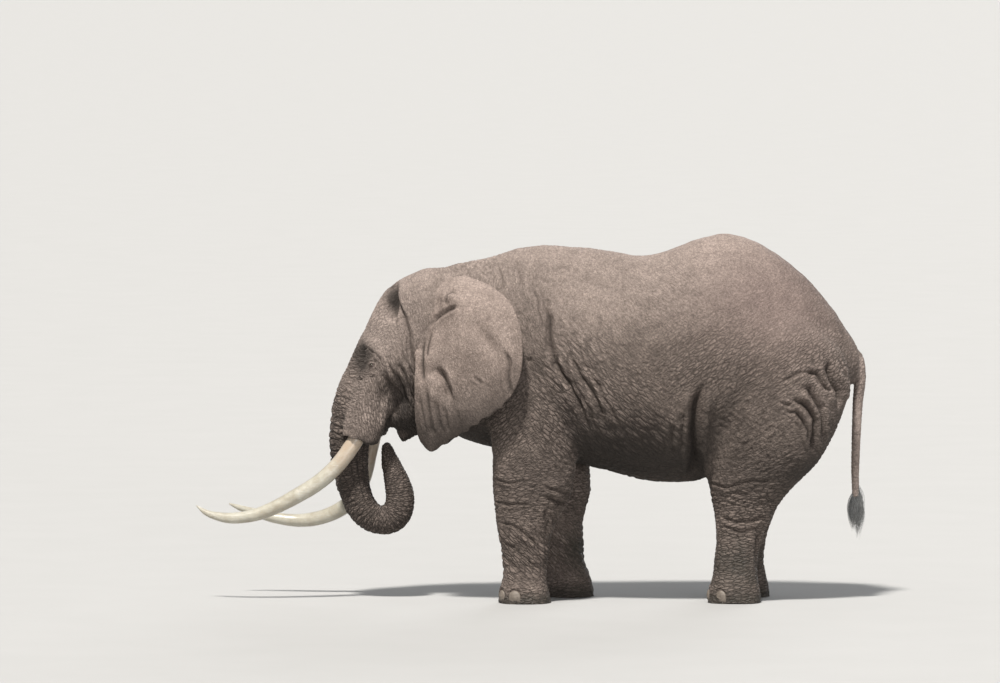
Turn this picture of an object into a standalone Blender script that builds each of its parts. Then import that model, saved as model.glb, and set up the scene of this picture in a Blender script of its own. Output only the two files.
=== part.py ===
"""African bush elephant bull, life size, standing and feeding with its trunk curled up to its mouth.

Metres, +Z up, soles on Z = 0. The animal faces -X, so its left side is -Y.
The flesh is lofted limb by limb, fused into one closed skin, and then parted by thin cuts into
the named parts. Ears, eyes, tusks, toenails and tail are solids of their own, each seated in a
pocket of the flesh.
"""

import math

import bmesh
import bpy
import numpy as np
from mathutils import Matrix, Vector

SHOULDER_HEIGHT = 3.215  # top of the withers above the soles
GAP = 0.0004  # clearance between neighbouring solids
VOXEL = 0.034  # grid of the fused flesh
FLESH_TRIANGLES = 3300
HEAD_TURN = math.radians(-6.0)  # the head looks slightly to the animal's right
HEAD_PIVOT = Vector((-0.55, 0.0, 2.3))
RING_SIDES = 32

# ---------------------------------------------------------------- body measures
# Torso: distance along the body, top, bottom, half width, height of the widest line
TORSO = [
    (-1.20, 2.80, 1.95, 0.28, 2.35),
    (-0.78, 3.035, 1.55, 0.41, 2.25),
    (-0.42, 3.115, 1.40, 0.55, 2.15),
    (-0.05, 3.22, 1.36, 0.65, 2.10),
    (0.30, SHOULDER_HEIGHT + 0.01, 1.27, 0.74, 2.05),
    (0.70, 3.18, 1.17, 0.82, 2.00),
    (1.05, 3.135, 1.085, 0.86, 1.98),
    (1.38, 3.24, 1.07, 0.84, 1.98),
    (1.70, 3.335, 1.14, 0.77, 2.05),
    (2.00, 3.285, 1.33, 0.69, 2.10),
    (2.30, 3.11, 1.55, 0.58, 2.15),
    (2.60, 2.83, 1.75, 0.44, 2.15),
    (2.86, 2.48, 1.90, 0.27, 2.15),
    (2.985, 2.27, 2.03, 0.10, 2.15),
]
SPINE_SHAPE, BELLY_SHAPE = 1.8, 2.15  # below 2 a section narrows to a ridge, above 2 it squares

# Legs: height, front edge, rear edge, distance of the leg's middle from the midline, half width
FRONT_LEG = [
    (-0.06, -0.305, 0.180, 0.370, 0.235),
    (0.00, -0.305, 0.180, 0.370, 0.235),
    (0.10, -0.295, 0.170, 0.370, 0.228),
    (0.25, -0.262, 0.142, 0.370, 0.195),
    (0.47, -0.275, 0.165, 0.370, 0.188),
    (0.66, -0.310, 0.205, 0.375, 0.198),
    (0.80, -0.330, 0.270, 0.385, 0.208),
    (0.92, -0.345, 0.345, 0.395, 0.220),
    (1.11, -0.357, 0.395, 0.415, 0.235),
    (1.40, -0.358, 0.420, 0.435, 0.255),
    (1.65, -0.362, 0.425, 0.440, 0.265),
    (1.90, -0.350, 0.470, 0.430, 0.265),
    (2.20, -0.280, 0.500, 0.400, 0.255),
    (2.60, -0.100, 0.430, 0.320, 0.230),
]
HIND_LEG = [
    (-0.06, 1.590, 2.095, 0.350, 0.218),
    (0.00, 1.590, 2.095, 0.350, 0.218),
    (0.10, 1.600, 2.085, 0.350, 0.212),
    (0.25, 1.640, 2.055, 0.350, 0.180),
    (0.45, 1.662, 2.068, 0.350, 0.172),
    (0.60, 1.670, 2.105, 0.350, 0.178),
    (0.75, 1.660, 2.168, 0.355, 0.192),
    (0.90, 1.640, 2.255, 0.360, 0.215),
    (1.05, 1.605, 2.385, 0.370, 0.250),
    (1.25, 1.560, 2.575, 0.390, 0.290),
    (1.50, 1.530, 2.730, 0.400, 0.325),
    (1.75, 1.520, 2.835, 0.400, 0.335),
    (2.00, 1.560, 2.895, 0.380, 0.330),
    (2.30, 1.640, 2.800, 0.340, 0.310),
    (2.60, 1.780, 2.480, 0.280, 0.250),
]
RIGHT_FORE_STRIDE = 0.40  # the right forefoot stands this far behind the left one
RIGHT_HIND_STRIDE = 0.09
STRIDE_TOP = 1.75  # the legs swing from about this height

# Head: height, front edge, rear edge, place of the widest line, half width
HEAD = [
    (1.57, -1.600, -1.00, -1.20, 0.190),
    (1.66, -1.640, -0.88, -1.17, 0.270),
    (1.80, -1.680, -0.75, -1.12, 0.335),
    (2.00, -1.650, -0.60, -1.08, 0.385),
    (2.20, -1.595, -0.48, -1.04, 0.410),
    (2.40, -1.535, -0.40, -0.98, 0.405),
    (2.60, -1.455, -0.38, -0.92, 0.385),
    (2.80, -1.330, -0.42, -0.87, 0.325),
    (2.94, -1.160, -0.50, -0.83, 0.235),
    (3.02, -0.960, -0.62, -0.80, 0.110),
]
# Trunk: middle line in the plane of symmetry, half depth across the bend, half width
TRUNK = [
    (-1.370, 2.36, 0.185, 0.210),
    (-1.490, 2.05, 0.205, 0.230),
    (-1.600, 1.78, 0.215, 0.225),
    (-1.655, 1.50, 0.195, 0.205),
    (-1.658, 1.25, 0.175, 0.190),
    (-1.635, 1.08, 0.162, 0.180),
    (-1.597, 0.93, 0.150, 0.170),
    (-1.512, 0.785, 0.140, 0.162),
    (-1.375, 0.705, 0.128, 0.155),
    (-1.245, 0.742, 0.133, 0.148),
    (-1.195, 0.870, 0.137, 0.142),
    (-1.212, 1.030, 0.126, 0.128),
    (-1.262, 1.180, 0.104, 0.106),
    (-1.302, 1.320, 0.070, 0.080),
    (-1.326, 1.430, 0.046, 0.064),
]
# Tusk sheath: place along, height, distance from the midline, half depth, half width
SHEATH = [
    (-1.300, 2.25, 0.130, 0.130, 0.130),
    (-1.400, 1.98, 0.170, 0.185, 0.160),
    (-1.470, 1.72, 0.205, 0.200, 0.155),
    (-1.520, 1.52, 0.232, 0.185, 0.140),
    (-1.540, 1.44, 0.240, 0.165, 0.125),
]
# Lower jaw: place along, height, half depth, half width
JAW = [
    (-0.860, 2.02, 0.260, 0.270),
    (-0.970, 1.79, 0.215, 0.210),
    (-1.070, 1.62, 0.150, 0.140),
    (-1.135, 1.51, 0.090, 0.085),
    (-1.178, 1.435, 0.050, 0.055),
]
# Tusks: place along, height, distance from the midline, radius. They aren't a matched pair.
LEFT_TUSK = [
    (-1.475, 1.620, 0.225, 0.066),
    (-1.600, 1.418, 0.250, 0.072),
    (-1.709, 1.264, 0.275, 0.071),
    (-1.864, 1.109, 0.310, 0.070),
    (-2.105, 0.952, 0.350, 0.067),
    (-2.309, 0.845, 0.375, 0.062),
    (-2.482, 0.780, 0.385, 0.056),
    (-2.773, 0.757, 0.370, 0.042),
    (-2.936, 0.800, 0.340, 0.026),
    (-3.022, 0.857, 0.315, 0.006),
]
RIGHT_TUSK = [
    (-1.440, 1.560, 0.225, 0.066),
    (-1.500, 1.330, 0.250, 0.070),
    (-1.570, 1.070, 0.285, 0.069),
    (-1.705, 0.850, 0.325, 0.067),
    (-1.900, 0.732, 0.365, 0.064),
    (-2.140, 0.680, 0.395, 0.059),
    (-2.370, 0.695, 0.405, 0.051),
    (-2.600, 0.755, 0.385, 0.036),
    (-2.735, 0.800, 0.360, 0.022),
    (-2.812, 0.832, 0.340, 0.006),
]
# Ear outline, top to bottom: place along, height, distance from the midline
EAR_FRONT = [
    (-0.760, 2.940, 0.215),
    (-0.880, 2.820, 0.310),
    (-0.950, 2.600, 0.370),
    (-0.985, 2.350, 0.400),
    (-1.005, 2.100, 0.435),
    (-1.010, 1.850, 0.445),
    (-1.000, 1.620, 0.430),
    (-0.965, 1.470, 0.410),
    (-0.915, 1.405, 0.400),
]
EAR_REAR = [
    (-0.560, 2.965, 0.310),
    (-0.300, 2.870, 0.470),
    (-0.110, 2.720, 0.640),
    (-0.020, 2.530, 0.740),
    (0.010, 2.330, 0.800),
    (-0.010, 2.080, 0.815),
    (-0.110, 1.870, 0.800),
    (-0.420, 1.620, 0.700),
    (-0.790, 1.410, 0.475),
]
EAR_THICKNESS = 0.032
EAR_BULGE = 0.055  # how far the middle of the ear stands out from its edges
# Tail: place along, height, radius
TAIL = [
    (2.860, 2.270, 0.070),
    (2.955, 2.200, 0.066),
    (2.988, 2.060, 0.058),
    (2.972, 1.800, 0.049),
    (2.955, 1.400, 0.042),
    (2.950, 1.100, 0.037),
    (2.955, 0.930, 0.034),
]
# Tail brush: height, half length, half width
TUFT = [
    (0.965, 0.046, 0.044),
    (0.900, 0.064, 0.050),
    (0.820, 0.078, 0.044),
    (0.720, 0.066, 0.036),
    (0.620, 0.034, 0.020),
    (0.560, 0.010, 0.008),
]
TUFT_X = 2.957
EYE = (-1.415, 2.146, 0.028)  # place along, height, radius
EYE_INSET = 0.015  # from the skin around it to the middle of the eyeball
FRONT_NAILS = (-66, -24, 24, 62)  # bearing of each nail from straight ahead, in degrees
HIND_NAILS = (-52, 0, 50)
NAIL_HALF = (0.024, 0.052, 0.056)  # half thickness, half width, half height
NAIL_HEIGHT = 0.068
NAIL_INSET = 0.012  # from the surface of the foot to the middle of the nail
# Dents and swellings of the head: place, radius, push along the body, outward push
HEAD_BRUSHES = [
    ((-1.27, 0.34, 2.69), 0.19, 0.00, -0.060),  # temple hollow
    ((-1.43, 0.33, 2.30), 0.12, -0.01, 0.030),  # brow over the eye
    ((-1.24, 0.40, 2.20), 0.17, 0.00, 0.030),  # cheekbone
    ((-1.22, 0.34, 1.86), 0.22, 0.00, -0.090),  # hollow under the cheekbone
    ((-1.56, 0.22, 2.02), 0.13, 0.00, -0.025),  # between the brow and the tusk sheath
]

# Where creases between the lofts are softened: place, radius
SOFT_ZONES = [
    ((0.10, 0.60, 1.75), 0.75),
    ((0.10, -0.60, 1.75), 0.75),
    ((1.70, 0.62, 1.55), 0.70),
    ((1.70, -0.62, 1.55), 0.70),
    ((2.25, 0.00, 2.00), 0.85),
    ((-0.70, 0.00, 2.30), 0.80),
    ((-1.15, 0.00, 1.95), 0.50),
    ((1.95, 0.00, 2.90), 0.60),
]

SKIN_COLOUR = (0.185, 0.150, 0.128, 1.0)
IVORY_COLOUR = (0.80, 0.73, 0.62, 1.0)
NAIL_COLOUR = (0.36, 0.31, 0.26, 1.0)
EYE_COLOUR = (0.030, 0.018, 0.010, 1.0)
HAIR_COLOUR = (0.045, 0.043, 0.045, 1.0)


# ---------------------------------------------------------------- helpers
def clear_scene():
    for obj in list(bpy.data.objects):
        bpy.data.objects.remove(obj)


def material(name, colour, roughness):
    made = bpy.data.materials.new(name)
    made.use_nodes = True
    shader = made.node_tree.nodes["Principled BSDF"]
    shader.inputs["Base Color"].default_value = colour
    shader.inputs["Roughness"].default_value = roughness
    shader.inputs["Metallic"].default_value = 0.0
    return made


def resample(keys, count, places):
    """count rows along a smooth curve through the keys, whose first columns are its places."""
    keys = np.array(keys, float)
    steps = np.linalg.norm(np.diff(keys[:, :places], axis=0), axis=1)
    at = np.concatenate([[0], np.cumsum(steps)])
    slope = np.gradient(keys, at, axis=0)
    want = np.linspace(0, at[-1], count)
    i = np.clip(np.searchsorted(at, want, side="right") - 1, 0, len(at) - 2)
    h = (at[i + 1] - at[i])[:, None]
    t = ((want - at[i])[:, None]) / h
    a, b = keys[i], keys[i + 1]
    return (
        (2 * t**3 - 3 * t**2 + 1) * a
        + (t**3 - 2 * t**2 + t) * h * slope[i]
        + (3 * t**2 - 2 * t**3) * b
        + (t**3 - t**2) * h * slope[i + 1]
    )


def bulge(value, power):
    """A cosine or sine reshaped towards a box (power above 2) or a diamond (below 2)."""
    return math.copysign(abs(value) ** (2.0 / power), value)


def angles(sides=RING_SIDES):
    return [2 * math.pi * k / sides for k in range(sides)]


def face_outward(mesh):
    """Triangles, so that a solid and its pocket share the same facets, with normals outward."""
    bmesh.ops.triangulate(mesh, faces=mesh.faces)
    bmesh.ops.recalc_face_normals(mesh, faces=mesh.faces)
    if mesh.calc_volume(signed=True) < 0:
        bmesh.ops.reverse_faces(mesh, faces=mesh.faces)


def loft(name, rings):
    """A closed mesh through rings of the same number of points."""
    mesh = bmesh.new()
    rows = [[mesh.verts.new(point) for point in ring] for ring in rings]
    for low, high in zip(rows, rows[1:]):
        for k in range(len(low)):
            after = (k + 1) % len(low)
            mesh.faces.new((low[k], low[after], high[after], high[k]))
    mesh.faces.new(reversed(rows[0]))
    mesh.faces.new(rows[-1])
    face_outward(mesh)
    return to_object(name, mesh)


def to_object(name, mesh):
    data = bpy.data.meshes.new(name)
    mesh.to_mesh(data)
    mesh.free()
    obj = bpy.data.objects.new(name, data)
    bpy.context.scene.collection.objects.link(obj)
    return obj


def apply_modifiers(obj):
    """Replaces the object's mesh by its evaluated one."""
    bpy.context.view_layer.update()
    graph = bpy.context.evaluated_depsgraph_get()
    done = bpy.data.meshes.new_from_object(obj.evaluated_get(graph))
    obj.modifiers.clear()
    obj.data = done
    return obj


def join(name, objects):
    mesh = bmesh.new()
    for obj in objects:
        mesh.from_mesh(obj.data)
        bpy.data.objects.remove(obj)
    return to_object(name, mesh)


def turn_head(obj):
    """Turns a part of the head about the neck."""
    turn = Matrix.Translation(HEAD_PIVOT) @ Matrix.Rotation(HEAD_TURN, 4, "Z")
    obj.data.transform(turn @ Matrix.Translation(-HEAD_PIVOT))
    return obj


# ---------------------------------------------------------------- flesh
def torso():
    rings = []
    for x, top, bottom, half, widest in resample(TORSO, 40, 1):
        ring = []
        for a in angles():
            up = math.sin(a)
            rise = (top - widest) if up > 0 else (widest - bottom)
            shape = SPINE_SHAPE if up > 0 else BELLY_SHAPE
            ring.append((x, half * bulge(math.cos(a), shape), widest + rise * bulge(up, shape)))
        rings.append(ring)
    return loft("torso", rings)


def leg(name, keys, side, stride):
    """A leg from the sole up into the body. side is -1 on the left; stride moves the foot back."""
    rings = []
    for z, front, rear, middle, half in resample(keys, 34, 1):
        share = min(1.0, max(0.0, (STRIDE_TOP - z) / (STRIDE_TOP - 0.15)))
        shift = stride * share
        centre, reach = (front + rear) / 2 + shift, (rear - front) / 2
        rings.append(
            [
                (centre + reach * bulge(math.cos(a), 2.2),
                 side * middle + half * bulge(math.sin(a), 2.2), z)
                for a in angles()
            ]
        )
    return loft(name, rings)


def head():
    rings = []
    for z, front, rear, widest, half in resample(HEAD, 24, 1):
        ring = []
        for a in angles():
            reach = (rear - widest) if math.cos(a) > 0 else (widest - front)
            shape = 2.2 if math.cos(a) > 0 else 1.9
            ring.append((widest + reach * bulge(math.cos(a), shape), half * bulge(math.sin(a), 2), z))
        rings.append(ring)
    return turn_head(loft("head", rings))


def sweep(name, rows):
    """A loft whose rings stand square to a middle line in a plane of constant Y.

    Each row is place along, height, distance from the midline, half depth, half width.
    """
    rows = np.array(rows)
    along = np.gradient(rows[:, :3], axis=0)
    rings = []
    for (x, z, y, depth, half), (dx, dz, _) in zip(rows, along):
        length = math.hypot(dx, dz)
        across = (dz / length, -dx / length)
        rings.append(
            [
                (x + across[0] * depth * math.cos(a), y + half * math.sin(a),
                 z + across[1] * depth * math.cos(a))
                for a in angles()
            ]
        )
    return loft(name, rings)


def trunk():
    rows = [(x, z, 0.0, depth, half) for x, z, depth, half in resample(TRUNK, 60, 2)]
    return turn_head(sweep("trunk", rows))


def sheath(side):
    rows = [(x, z, side * y, depth, half) for x, z, y, depth, half in resample(SHEATH, 16, 3)]
    return turn_head(sweep("sheath", rows))


def jaw():
    rows = [(x, z, 0.0, depth, half) for x, z, depth, half in resample(JAW, 16, 2)]
    return turn_head(sweep("jaw", rows))


def soften(obj, iterations, zones=None):
    """Smooths the mesh, everywhere or only in the soft zones."""
    smooth = obj.modifiers.new("soften", "SMOOTH")
    smooth.factor = 0.5
    smooth.iterations = iterations
    if zones:
        group = obj.vertex_groups.new(name="zones")
        points = np.array([v.co for v in obj.data.vertices])
        weight = np.zeros(len(points))
        for centre, radius in zones:
            away = np.linalg.norm(points - np.array(centre), axis=1) / radius
            weight = np.maximum(weight, np.clip(1.6 * (1 - away), 0, 1))
        for index in np.flatnonzero(weight > 0.01):
            group.add([int(index)], float(weight[index]), "REPLACE")
        smooth.vertex_group = "zones"
    return apply_modifiers(obj)


def fused_flesh():
    """Torso, legs, head, trunk and jaw as one closed skin with level soles."""
    flesh = join(
        "flesh",
        [
            torso(),
            leg("fore_left", FRONT_LEG, -1, 0.0),
            leg("fore_right", FRONT_LEG, 1, RIGHT_FORE_STRIDE),
            leg("hind_left", HIND_LEG, -1, 0.0),
            leg("hind_right", HIND_LEG, 1, RIGHT_HIND_STRIDE),
            head(),
            trunk(),
            sheath(-1),
            sheath(1),
            jaw(),
        ],
    )

    remesh = flesh.modifiers.new("fuse", "REMESH")
    remesh.mode = "VOXEL"
    remesh.voxel_size = VOXEL
    apply_modifiers(flesh)
    soften(flesh, 14, SOFT_ZONES)
    soften(flesh, 3)
    sculpt_head(flesh)
    fewer = flesh.modifiers.new("fewer", "DECIMATE")
    flesh.data.calc_loop_triangles()
    fewer.ratio = FLESH_TRIANGLES / len(flesh.data.loop_triangles)
    apply_modifiers(flesh)
    return level_soles(flesh)


def sculpt_head(flesh):
    """Pushes the skin in and out at HEAD_BRUSHES, on both sides of the head."""
    turn = Matrix.Rotation(HEAD_TURN, 3, "Z")
    points = np.array([v.co for v in flesh.data.vertices])
    for (x, y, z), radius, along, out in HEAD_BRUSHES:
        for side in (-1, 1):
            middle = turn @ (Vector((x, side * y, z)) - HEAD_PIVOT) + HEAD_PIVOT
            push = turn @ Vector((along, side * out, 0))
            away = np.linalg.norm(points - np.array(middle), axis=1) / radius
            points += np.exp(-2.5 * away**2)[:, None] * np.array(push)
    flesh.data.vertices.foreach_set("co", points.ravel())
    flesh.data.update()


def level_soles(obj):
    mesh = bmesh.new()
    mesh.from_mesh(obj.data)
    everything = mesh.verts[:] + mesh.edges[:] + mesh.faces[:]
    cut = bmesh.ops.bisect_plane(
        mesh, geom=everything, dist=1e-5, plane_co=(0, 0, 0), plane_no=(0, 0, -1), clear_outer=True
    )
    rim = [e for e in cut["geom_cut"] if isinstance(e, bmesh.types.BMEdge)]
    bmesh.ops.holes_fill(mesh, edges=rim, sides=0)
    bmesh.ops.triangulate(mesh, faces=mesh.faces)
    mesh.to_mesh(obj.data)
    mesh.free()
    return obj


# ---------------------------------------------------------------- separate solids
def tube(name, rows, sides):
    """A round solid along a line of (x, y, z, radius) rows."""
    rows = np.array(rows)
    rings = []
    along = np.gradient(rows[:, :3], axis=0)
    for (x, y, z, radius), direction in zip(rows, along):
        forward = Vector(direction).normalized()
        out = Vector((0, 1, 0)).cross(forward).normalized()
        other = forward.cross(out)
        rings.append(
            [
                Vector((x, y, z)) + float(radius) * (math.cos(a) * out + math.sin(a) * other)
                for a in angles(sides)
            ]
        )
    return loft(name, rings)


def tusk(name, keys, side):
    rows = [(x, side * y, z, radius) for x, z, y, radius in resample(keys, 14, 3)]
    return turn_head(tube(name, rows, 8))


def tail():
    rows = [(x, 0.0, z, radius) for x, z, radius in resample(TAIL, 10, 2)]
    return tube("tail", rows, 8)


def tuft():
    rings = []
    for z, length, half in resample(TUFT, 7, 1):
        rings.append([(TUFT_X + length * math.cos(a), half * math.sin(a), z) for a in angles(8)])
    return loft("tail_tuft", rings)


def ear(name, side):
    """A curved sheet between its front and rear outlines, thickened by Solidify."""
    rows, columns = 12, 7
    front = resample(EAR_FRONT, rows, 3)
    rear = resample(EAR_REAR, rows, 3)
    mesh = bmesh.new()
    grid = []
    for r in range(rows):
        line = []
        for c in range(columns):
            u = c / (columns - 1)
            x, z, out = front[r] * (1 - u) + rear[r] * u
            out += EAR_BULGE * math.sin(math.pi * u)
            line.append(mesh.verts.new((x, side * out, z)))
        grid.append(line)
    for above, below in zip(grid, grid[1:]):
        for k in range(columns - 1):
            mesh.faces.new((above[k], above[k + 1], below[k + 1], below[k]))
    obj = to_object(name, mesh)
    shell = obj.modifiers.new("shell", "SOLIDIFY")
    shell.thickness = EAR_THICKNESS
    shell.offset = 0.0
    apply_modifiers(obj)
    mesh = bmesh.new()
    mesh.from_mesh(obj.data)
    face_outward(mesh)
    mesh.to_mesh(obj.data)
    mesh.free()
    return turn_head(obj)


def point_on(obj, start, direction):
    """Where a ray from start first meets the object."""
    hit, place, _, _ = obj.ray_cast(Vector(start), Vector(direction))
    if not hit:
        raise ValueError(f"no surface of {obj.name} is met from {start}")
    return place


def ellipsoid(name, half, turn, place, segments, rings):
    mesh = bmesh.new()
    bmesh.ops.create_uvsphere(mesh, u_segments=segments, v_segments=rings, radius=1.0)
    bmesh.ops.scale(mesh, verts=mesh.verts, vec=half)
    bmesh.ops.rotate(mesh, verts=mesh.verts, matrix=Matrix.Rotation(turn, 3, "Z"))
    bmesh.ops.translate(mesh, verts=mesh.verts, vec=place)
    face_outward(mesh)
    return to_object(name, mesh)


def eye(name, flesh, side):
    x, z, radius = EYE
    turn = Matrix.Rotation(HEAD_TURN, 3, "Z")
    inward = turn @ Vector((0, -side, 0))
    start = turn @ (Vector((x, side * 1.0, z)) - HEAD_PIVOT) + HEAD_PIVOT
    place = point_on(flesh, start, inward) + EYE_INSET * inward
    return ellipsoid(name, (radius,) * 3, 0.0, place, 8, 6)


def nails(flesh, foot, keys, side, stride, bearings):
    """The toenails of one foot, set round the front of its sole."""
    _, front, rear, middle, _ = keys[2]
    centre = Vector(((front + rear) / 2 + stride, side * middle, NAIL_HEIGHT))
    made = []
    for number, bearing in enumerate(bearings, 1):
        turn = math.radians(180 + side * bearing)
        outward = Vector((math.cos(turn), math.sin(turn), 0))
        place = point_on(flesh, centre + outward, -outward) - NAIL_INSET * outward
        name = f"nail_{foot}_{number}"
        made.append(ellipsoid(name, NAIL_HALF, turn, place, 6, 4))
    return made


# ---------------------------------------------------------------- parting
def plate(centre, normal, size):
    """A thin square cutter facing along normal."""
    mesh = bmesh.new()
    bmesh.ops.create_cube(mesh, size=1.0)
    bmesh.ops.scale(mesh, verts=mesh.verts, vec=(size[0], size[1], GAP))
    face = Vector(normal).to_track_quat("Z", "Y").to_matrix()
    bmesh.ops.rotate(mesh, verts=mesh.verts, matrix=face)
    bmesh.ops.translate(mesh, verts=mesh.verts, vec=centre)
    return to_object("cut", mesh)


def subtract(obj, cutter):
    cut = obj.modifiers.new("cut", "BOOLEAN")
    cut.operation = "DIFFERENCE"
    cut.object = cutter
    apply_modifiers(obj)


def pocket(obj, insert):
    """Cuts room for the insert out of the object, with a hair's clearance."""
    cutter = insert.copy()
    cutter.data = insert.data.copy()
    bpy.context.scene.collection.objects.link(cutter)
    grow = cutter.modifiers.new("grow", "DISPLACE")
    grow.strength = GAP
    grow.mid_level = 0.0
    apply_modifiers(cutter)
    subtract(obj, cutter)
    bpy.data.objects.remove(cutter)


def volume_and_centre(mesh):
    points = np.array([[v.co for v in f.verts] for f in mesh.faces])
    parts = np.einsum("ij,ij->i", points[:, 0], np.cross(points[:, 1], points[:, 2])) / 6
    total = parts.sum()
    return total, (points.sum(1) / 4 * parts[:, None]).sum(0) / total


def loose_parts(obj):
    """The object's separate bodies as (bmesh, volume, centre)."""
    whole = bmesh.new()
    whole.from_mesh(obj.data)
    bmesh.ops.triangulate(whole, faces=whole.faces)
    whole.verts.ensure_lookup_table()
    seen, bodies = set(), []
    for start in whole.verts:
        if start.index in seen:
            continue
        stack, found = [start], {start.index}
        while stack:
            for edge in stack.pop().link_edges:
                for vert in edge.verts:
                    if vert.index not in found:
                        found.add(vert.index)
                        stack.append(vert)
        seen |= found
        body = whole.copy()
        body.verts.ensure_lookup_table()
        gone = [v for v in body.verts if v.index not in found]
        bmesh.ops.delete(body, geom=gone, context="VERTS")
        if body.faces:
            bodies.append((body, *volume_and_centre(body)))
    whole.free()
    return bodies


CUTS = [  # middle, facing, size
    ((-0.80, 0.0, 2.30), (1.0, 0.0, -0.20), (2.4, 2.4)),
    ((-0.36, 0.0, 2.30), (1.0, 0.0, -0.16), (2.6, 2.6)),
    ((0.62, 0.0, 2.30), (1.0, 0.0, 0.0), (2.6, 2.6)),
    ((1.46, 0.0, 2.30), (1.0, 0.0, 0.0), (2.6, 2.6)),
    ((0.12, 0.0, 1.165), (0.0, 0.0, 1.0), (1.2, 1.9)),
    ((2.00, 0.0, 0.985), (0.0, 0.0, 1.0), (1.1, 1.9)),
    ((0.12, 0.0, 0.62), (0.0, 0.0, 1.0), (1.2, 1.9)),
    ((2.00, 0.0, 0.56), (0.0, 0.0, 1.0), (1.1, 1.9)),
    ((-1.72, 0.0, 1.365), (0.0, 0.0, 1.0), (0.62, 1.2)),
    ((-1.74, 0.0, 0.955), (0.0, 0.0, 1.0), (0.68, 1.2)),
    ((-1.13, 0.0, 1.10), (0.0, 0.0, 1.0), (0.50, 1.2)),
    ((-1.12, 0.06, 1.54), (0.0, 0.0, 1.0), (0.34, 0.5)),
]
# Each part of the flesh, by roughly where its middle lies
FLESH_PARTS = {
    "head": (-1.20, 0.0, 2.30),
    "neck": (-0.58, 0.0, 2.30),
    "forequarters": (0.10, 0.0, 2.20),
    "barrel": (1.04, 0.0, 2.10),
    "hindquarters": (2.00, 0.0, 2.10),
    "fore_left_forearm": (0.02, -0.38, 0.90),
    "fore_right_forearm": (0.25, 0.38, 0.90),
    "fore_left_foot": (-0.06, -0.37, 0.30),
    "fore_right_foot": (0.30, 0.37, 0.30),
    "hind_left_shank": (1.92, -0.36, 0.78),
    "hind_right_shank": (2.00, 0.36, 0.78),
    "hind_left_foot": (1.85, -0.35, 0.27),
    "hind_right_foot": (1.94, 0.35, 0.27),
    "trunk_upper": (-1.66, 0.0, 1.18),
    "trunk_bend": (-1.40, 0.0, 0.83),
    "trunk_tip": (-1.27, 0.0, 1.22),
    "lower_lip": (-1.16, 0.0, 1.46),
}
SMALLEST_PART = 2e-4  # cubic metres; anything less is a sliver from a cut


def part_flesh(flesh):
    """Splits the flesh at CUTS, and names each body after the nearest middle in FLESH_PARTS."""
    for centre, normal, size in CUTS:
        cutter = plate(centre, normal, size)
        subtract(flesh, cutter)
        bpy.data.objects.remove(cutter)
    made = []
    for body, volume, centre in loose_parts(flesh):
        if volume < SMALLEST_PART:
            body.free()
            continue
        name = min(FLESH_PARTS, key=lambda n: (Vector(FLESH_PARTS[n]) - Vector(centre)).length)
        made.append(to_object(name, body))
    bpy.data.objects.remove(flesh)
    return made


def centre_on_origin(objects):
    """Moves everything so that the origin lies under the middle of the whole animal."""
    points = np.array([v.co for obj in objects for v in obj.data.vertices])
    middle = (points.min(0) + points.max(0)) / 2
    for obj in objects:
        obj.data.transform(Matrix.Translation((-middle[0], -middle[1], 0.0)))


def main():
    clear_scene()
    skin = material("skin", SKIN_COLOUR, 0.85)
    ivory = material("ivory", IVORY_COLOUR, 0.35)
    horn = material("nail", NAIL_COLOUR, 0.55)
    cornea = material("eye", EYE_COLOUR, 0.08)
    hair = material("tail_hair", HAIR_COLOUR, 0.6)

    flesh = fused_flesh()
    inserts = [
        (tusk("tusk_left", LEFT_TUSK, -1), ivory),
        (tusk("tusk_right", RIGHT_TUSK, 1), ivory),
        (ear("ear_left", -1), skin),
        (ear("ear_right", 1), skin),
        (eye("eye_left", flesh, -1), cornea),
        (eye("eye_right", flesh, 1), cornea),
        (tail(), skin),
    ]
    feet = [
        ("fore_left", FRONT_LEG, -1, 0.0, FRONT_NAILS),
        ("fore_right", FRONT_LEG, 1, RIGHT_FORE_STRIDE, FRONT_NAILS),
        ("hind_left", HIND_LEG, -1, 0.0, HIND_NAILS),
        ("hind_right", HIND_LEG, 1, RIGHT_HIND_STRIDE, HIND_NAILS),
    ]
    for foot in feet:
        inserts += [(nail, horn) for nail in nails(flesh, *foot)]

    for insert, _ in inserts:
        pocket(flesh, insert)
    brush = tuft()
    pocket(brush, bpy.data.objects["tail"])
    dressed = inserts + [(part, skin) for part in part_flesh(flesh)] + [(brush, hair)]

    centre_on_origin([obj for obj, _ in dressed])
    elephant = bpy.data.collections.new("elephant")
    bpy.context.scene.collection.children.link(elephant)
    for obj, finish in dressed:
        bpy.context.scene.collection.objects.unlink(obj)
        elephant.objects.link(obj)
        obj.data.materials.clear()
        obj.data.materials.append(finish)
        obj.data.shade_smooth()
        obj.data.set_sharp_from_angle(angle=math.radians(40))


main()
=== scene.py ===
"""Looks of the life-size African bush elephant bull: skin, eyes, tusks, nails and tail brush.

Metres, +Z up, soles on Z = 0, facing -X. Body measures are the same named values as the solids',
given before the whole animal is moved by SHIFT so that the origin lies under its middle.
"""

import contextlib
import math

import bmesh
import bpy
import numpy as np
from mathutils import Matrix, Vector
from mathutils.bvhtree import BVHTree


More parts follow.
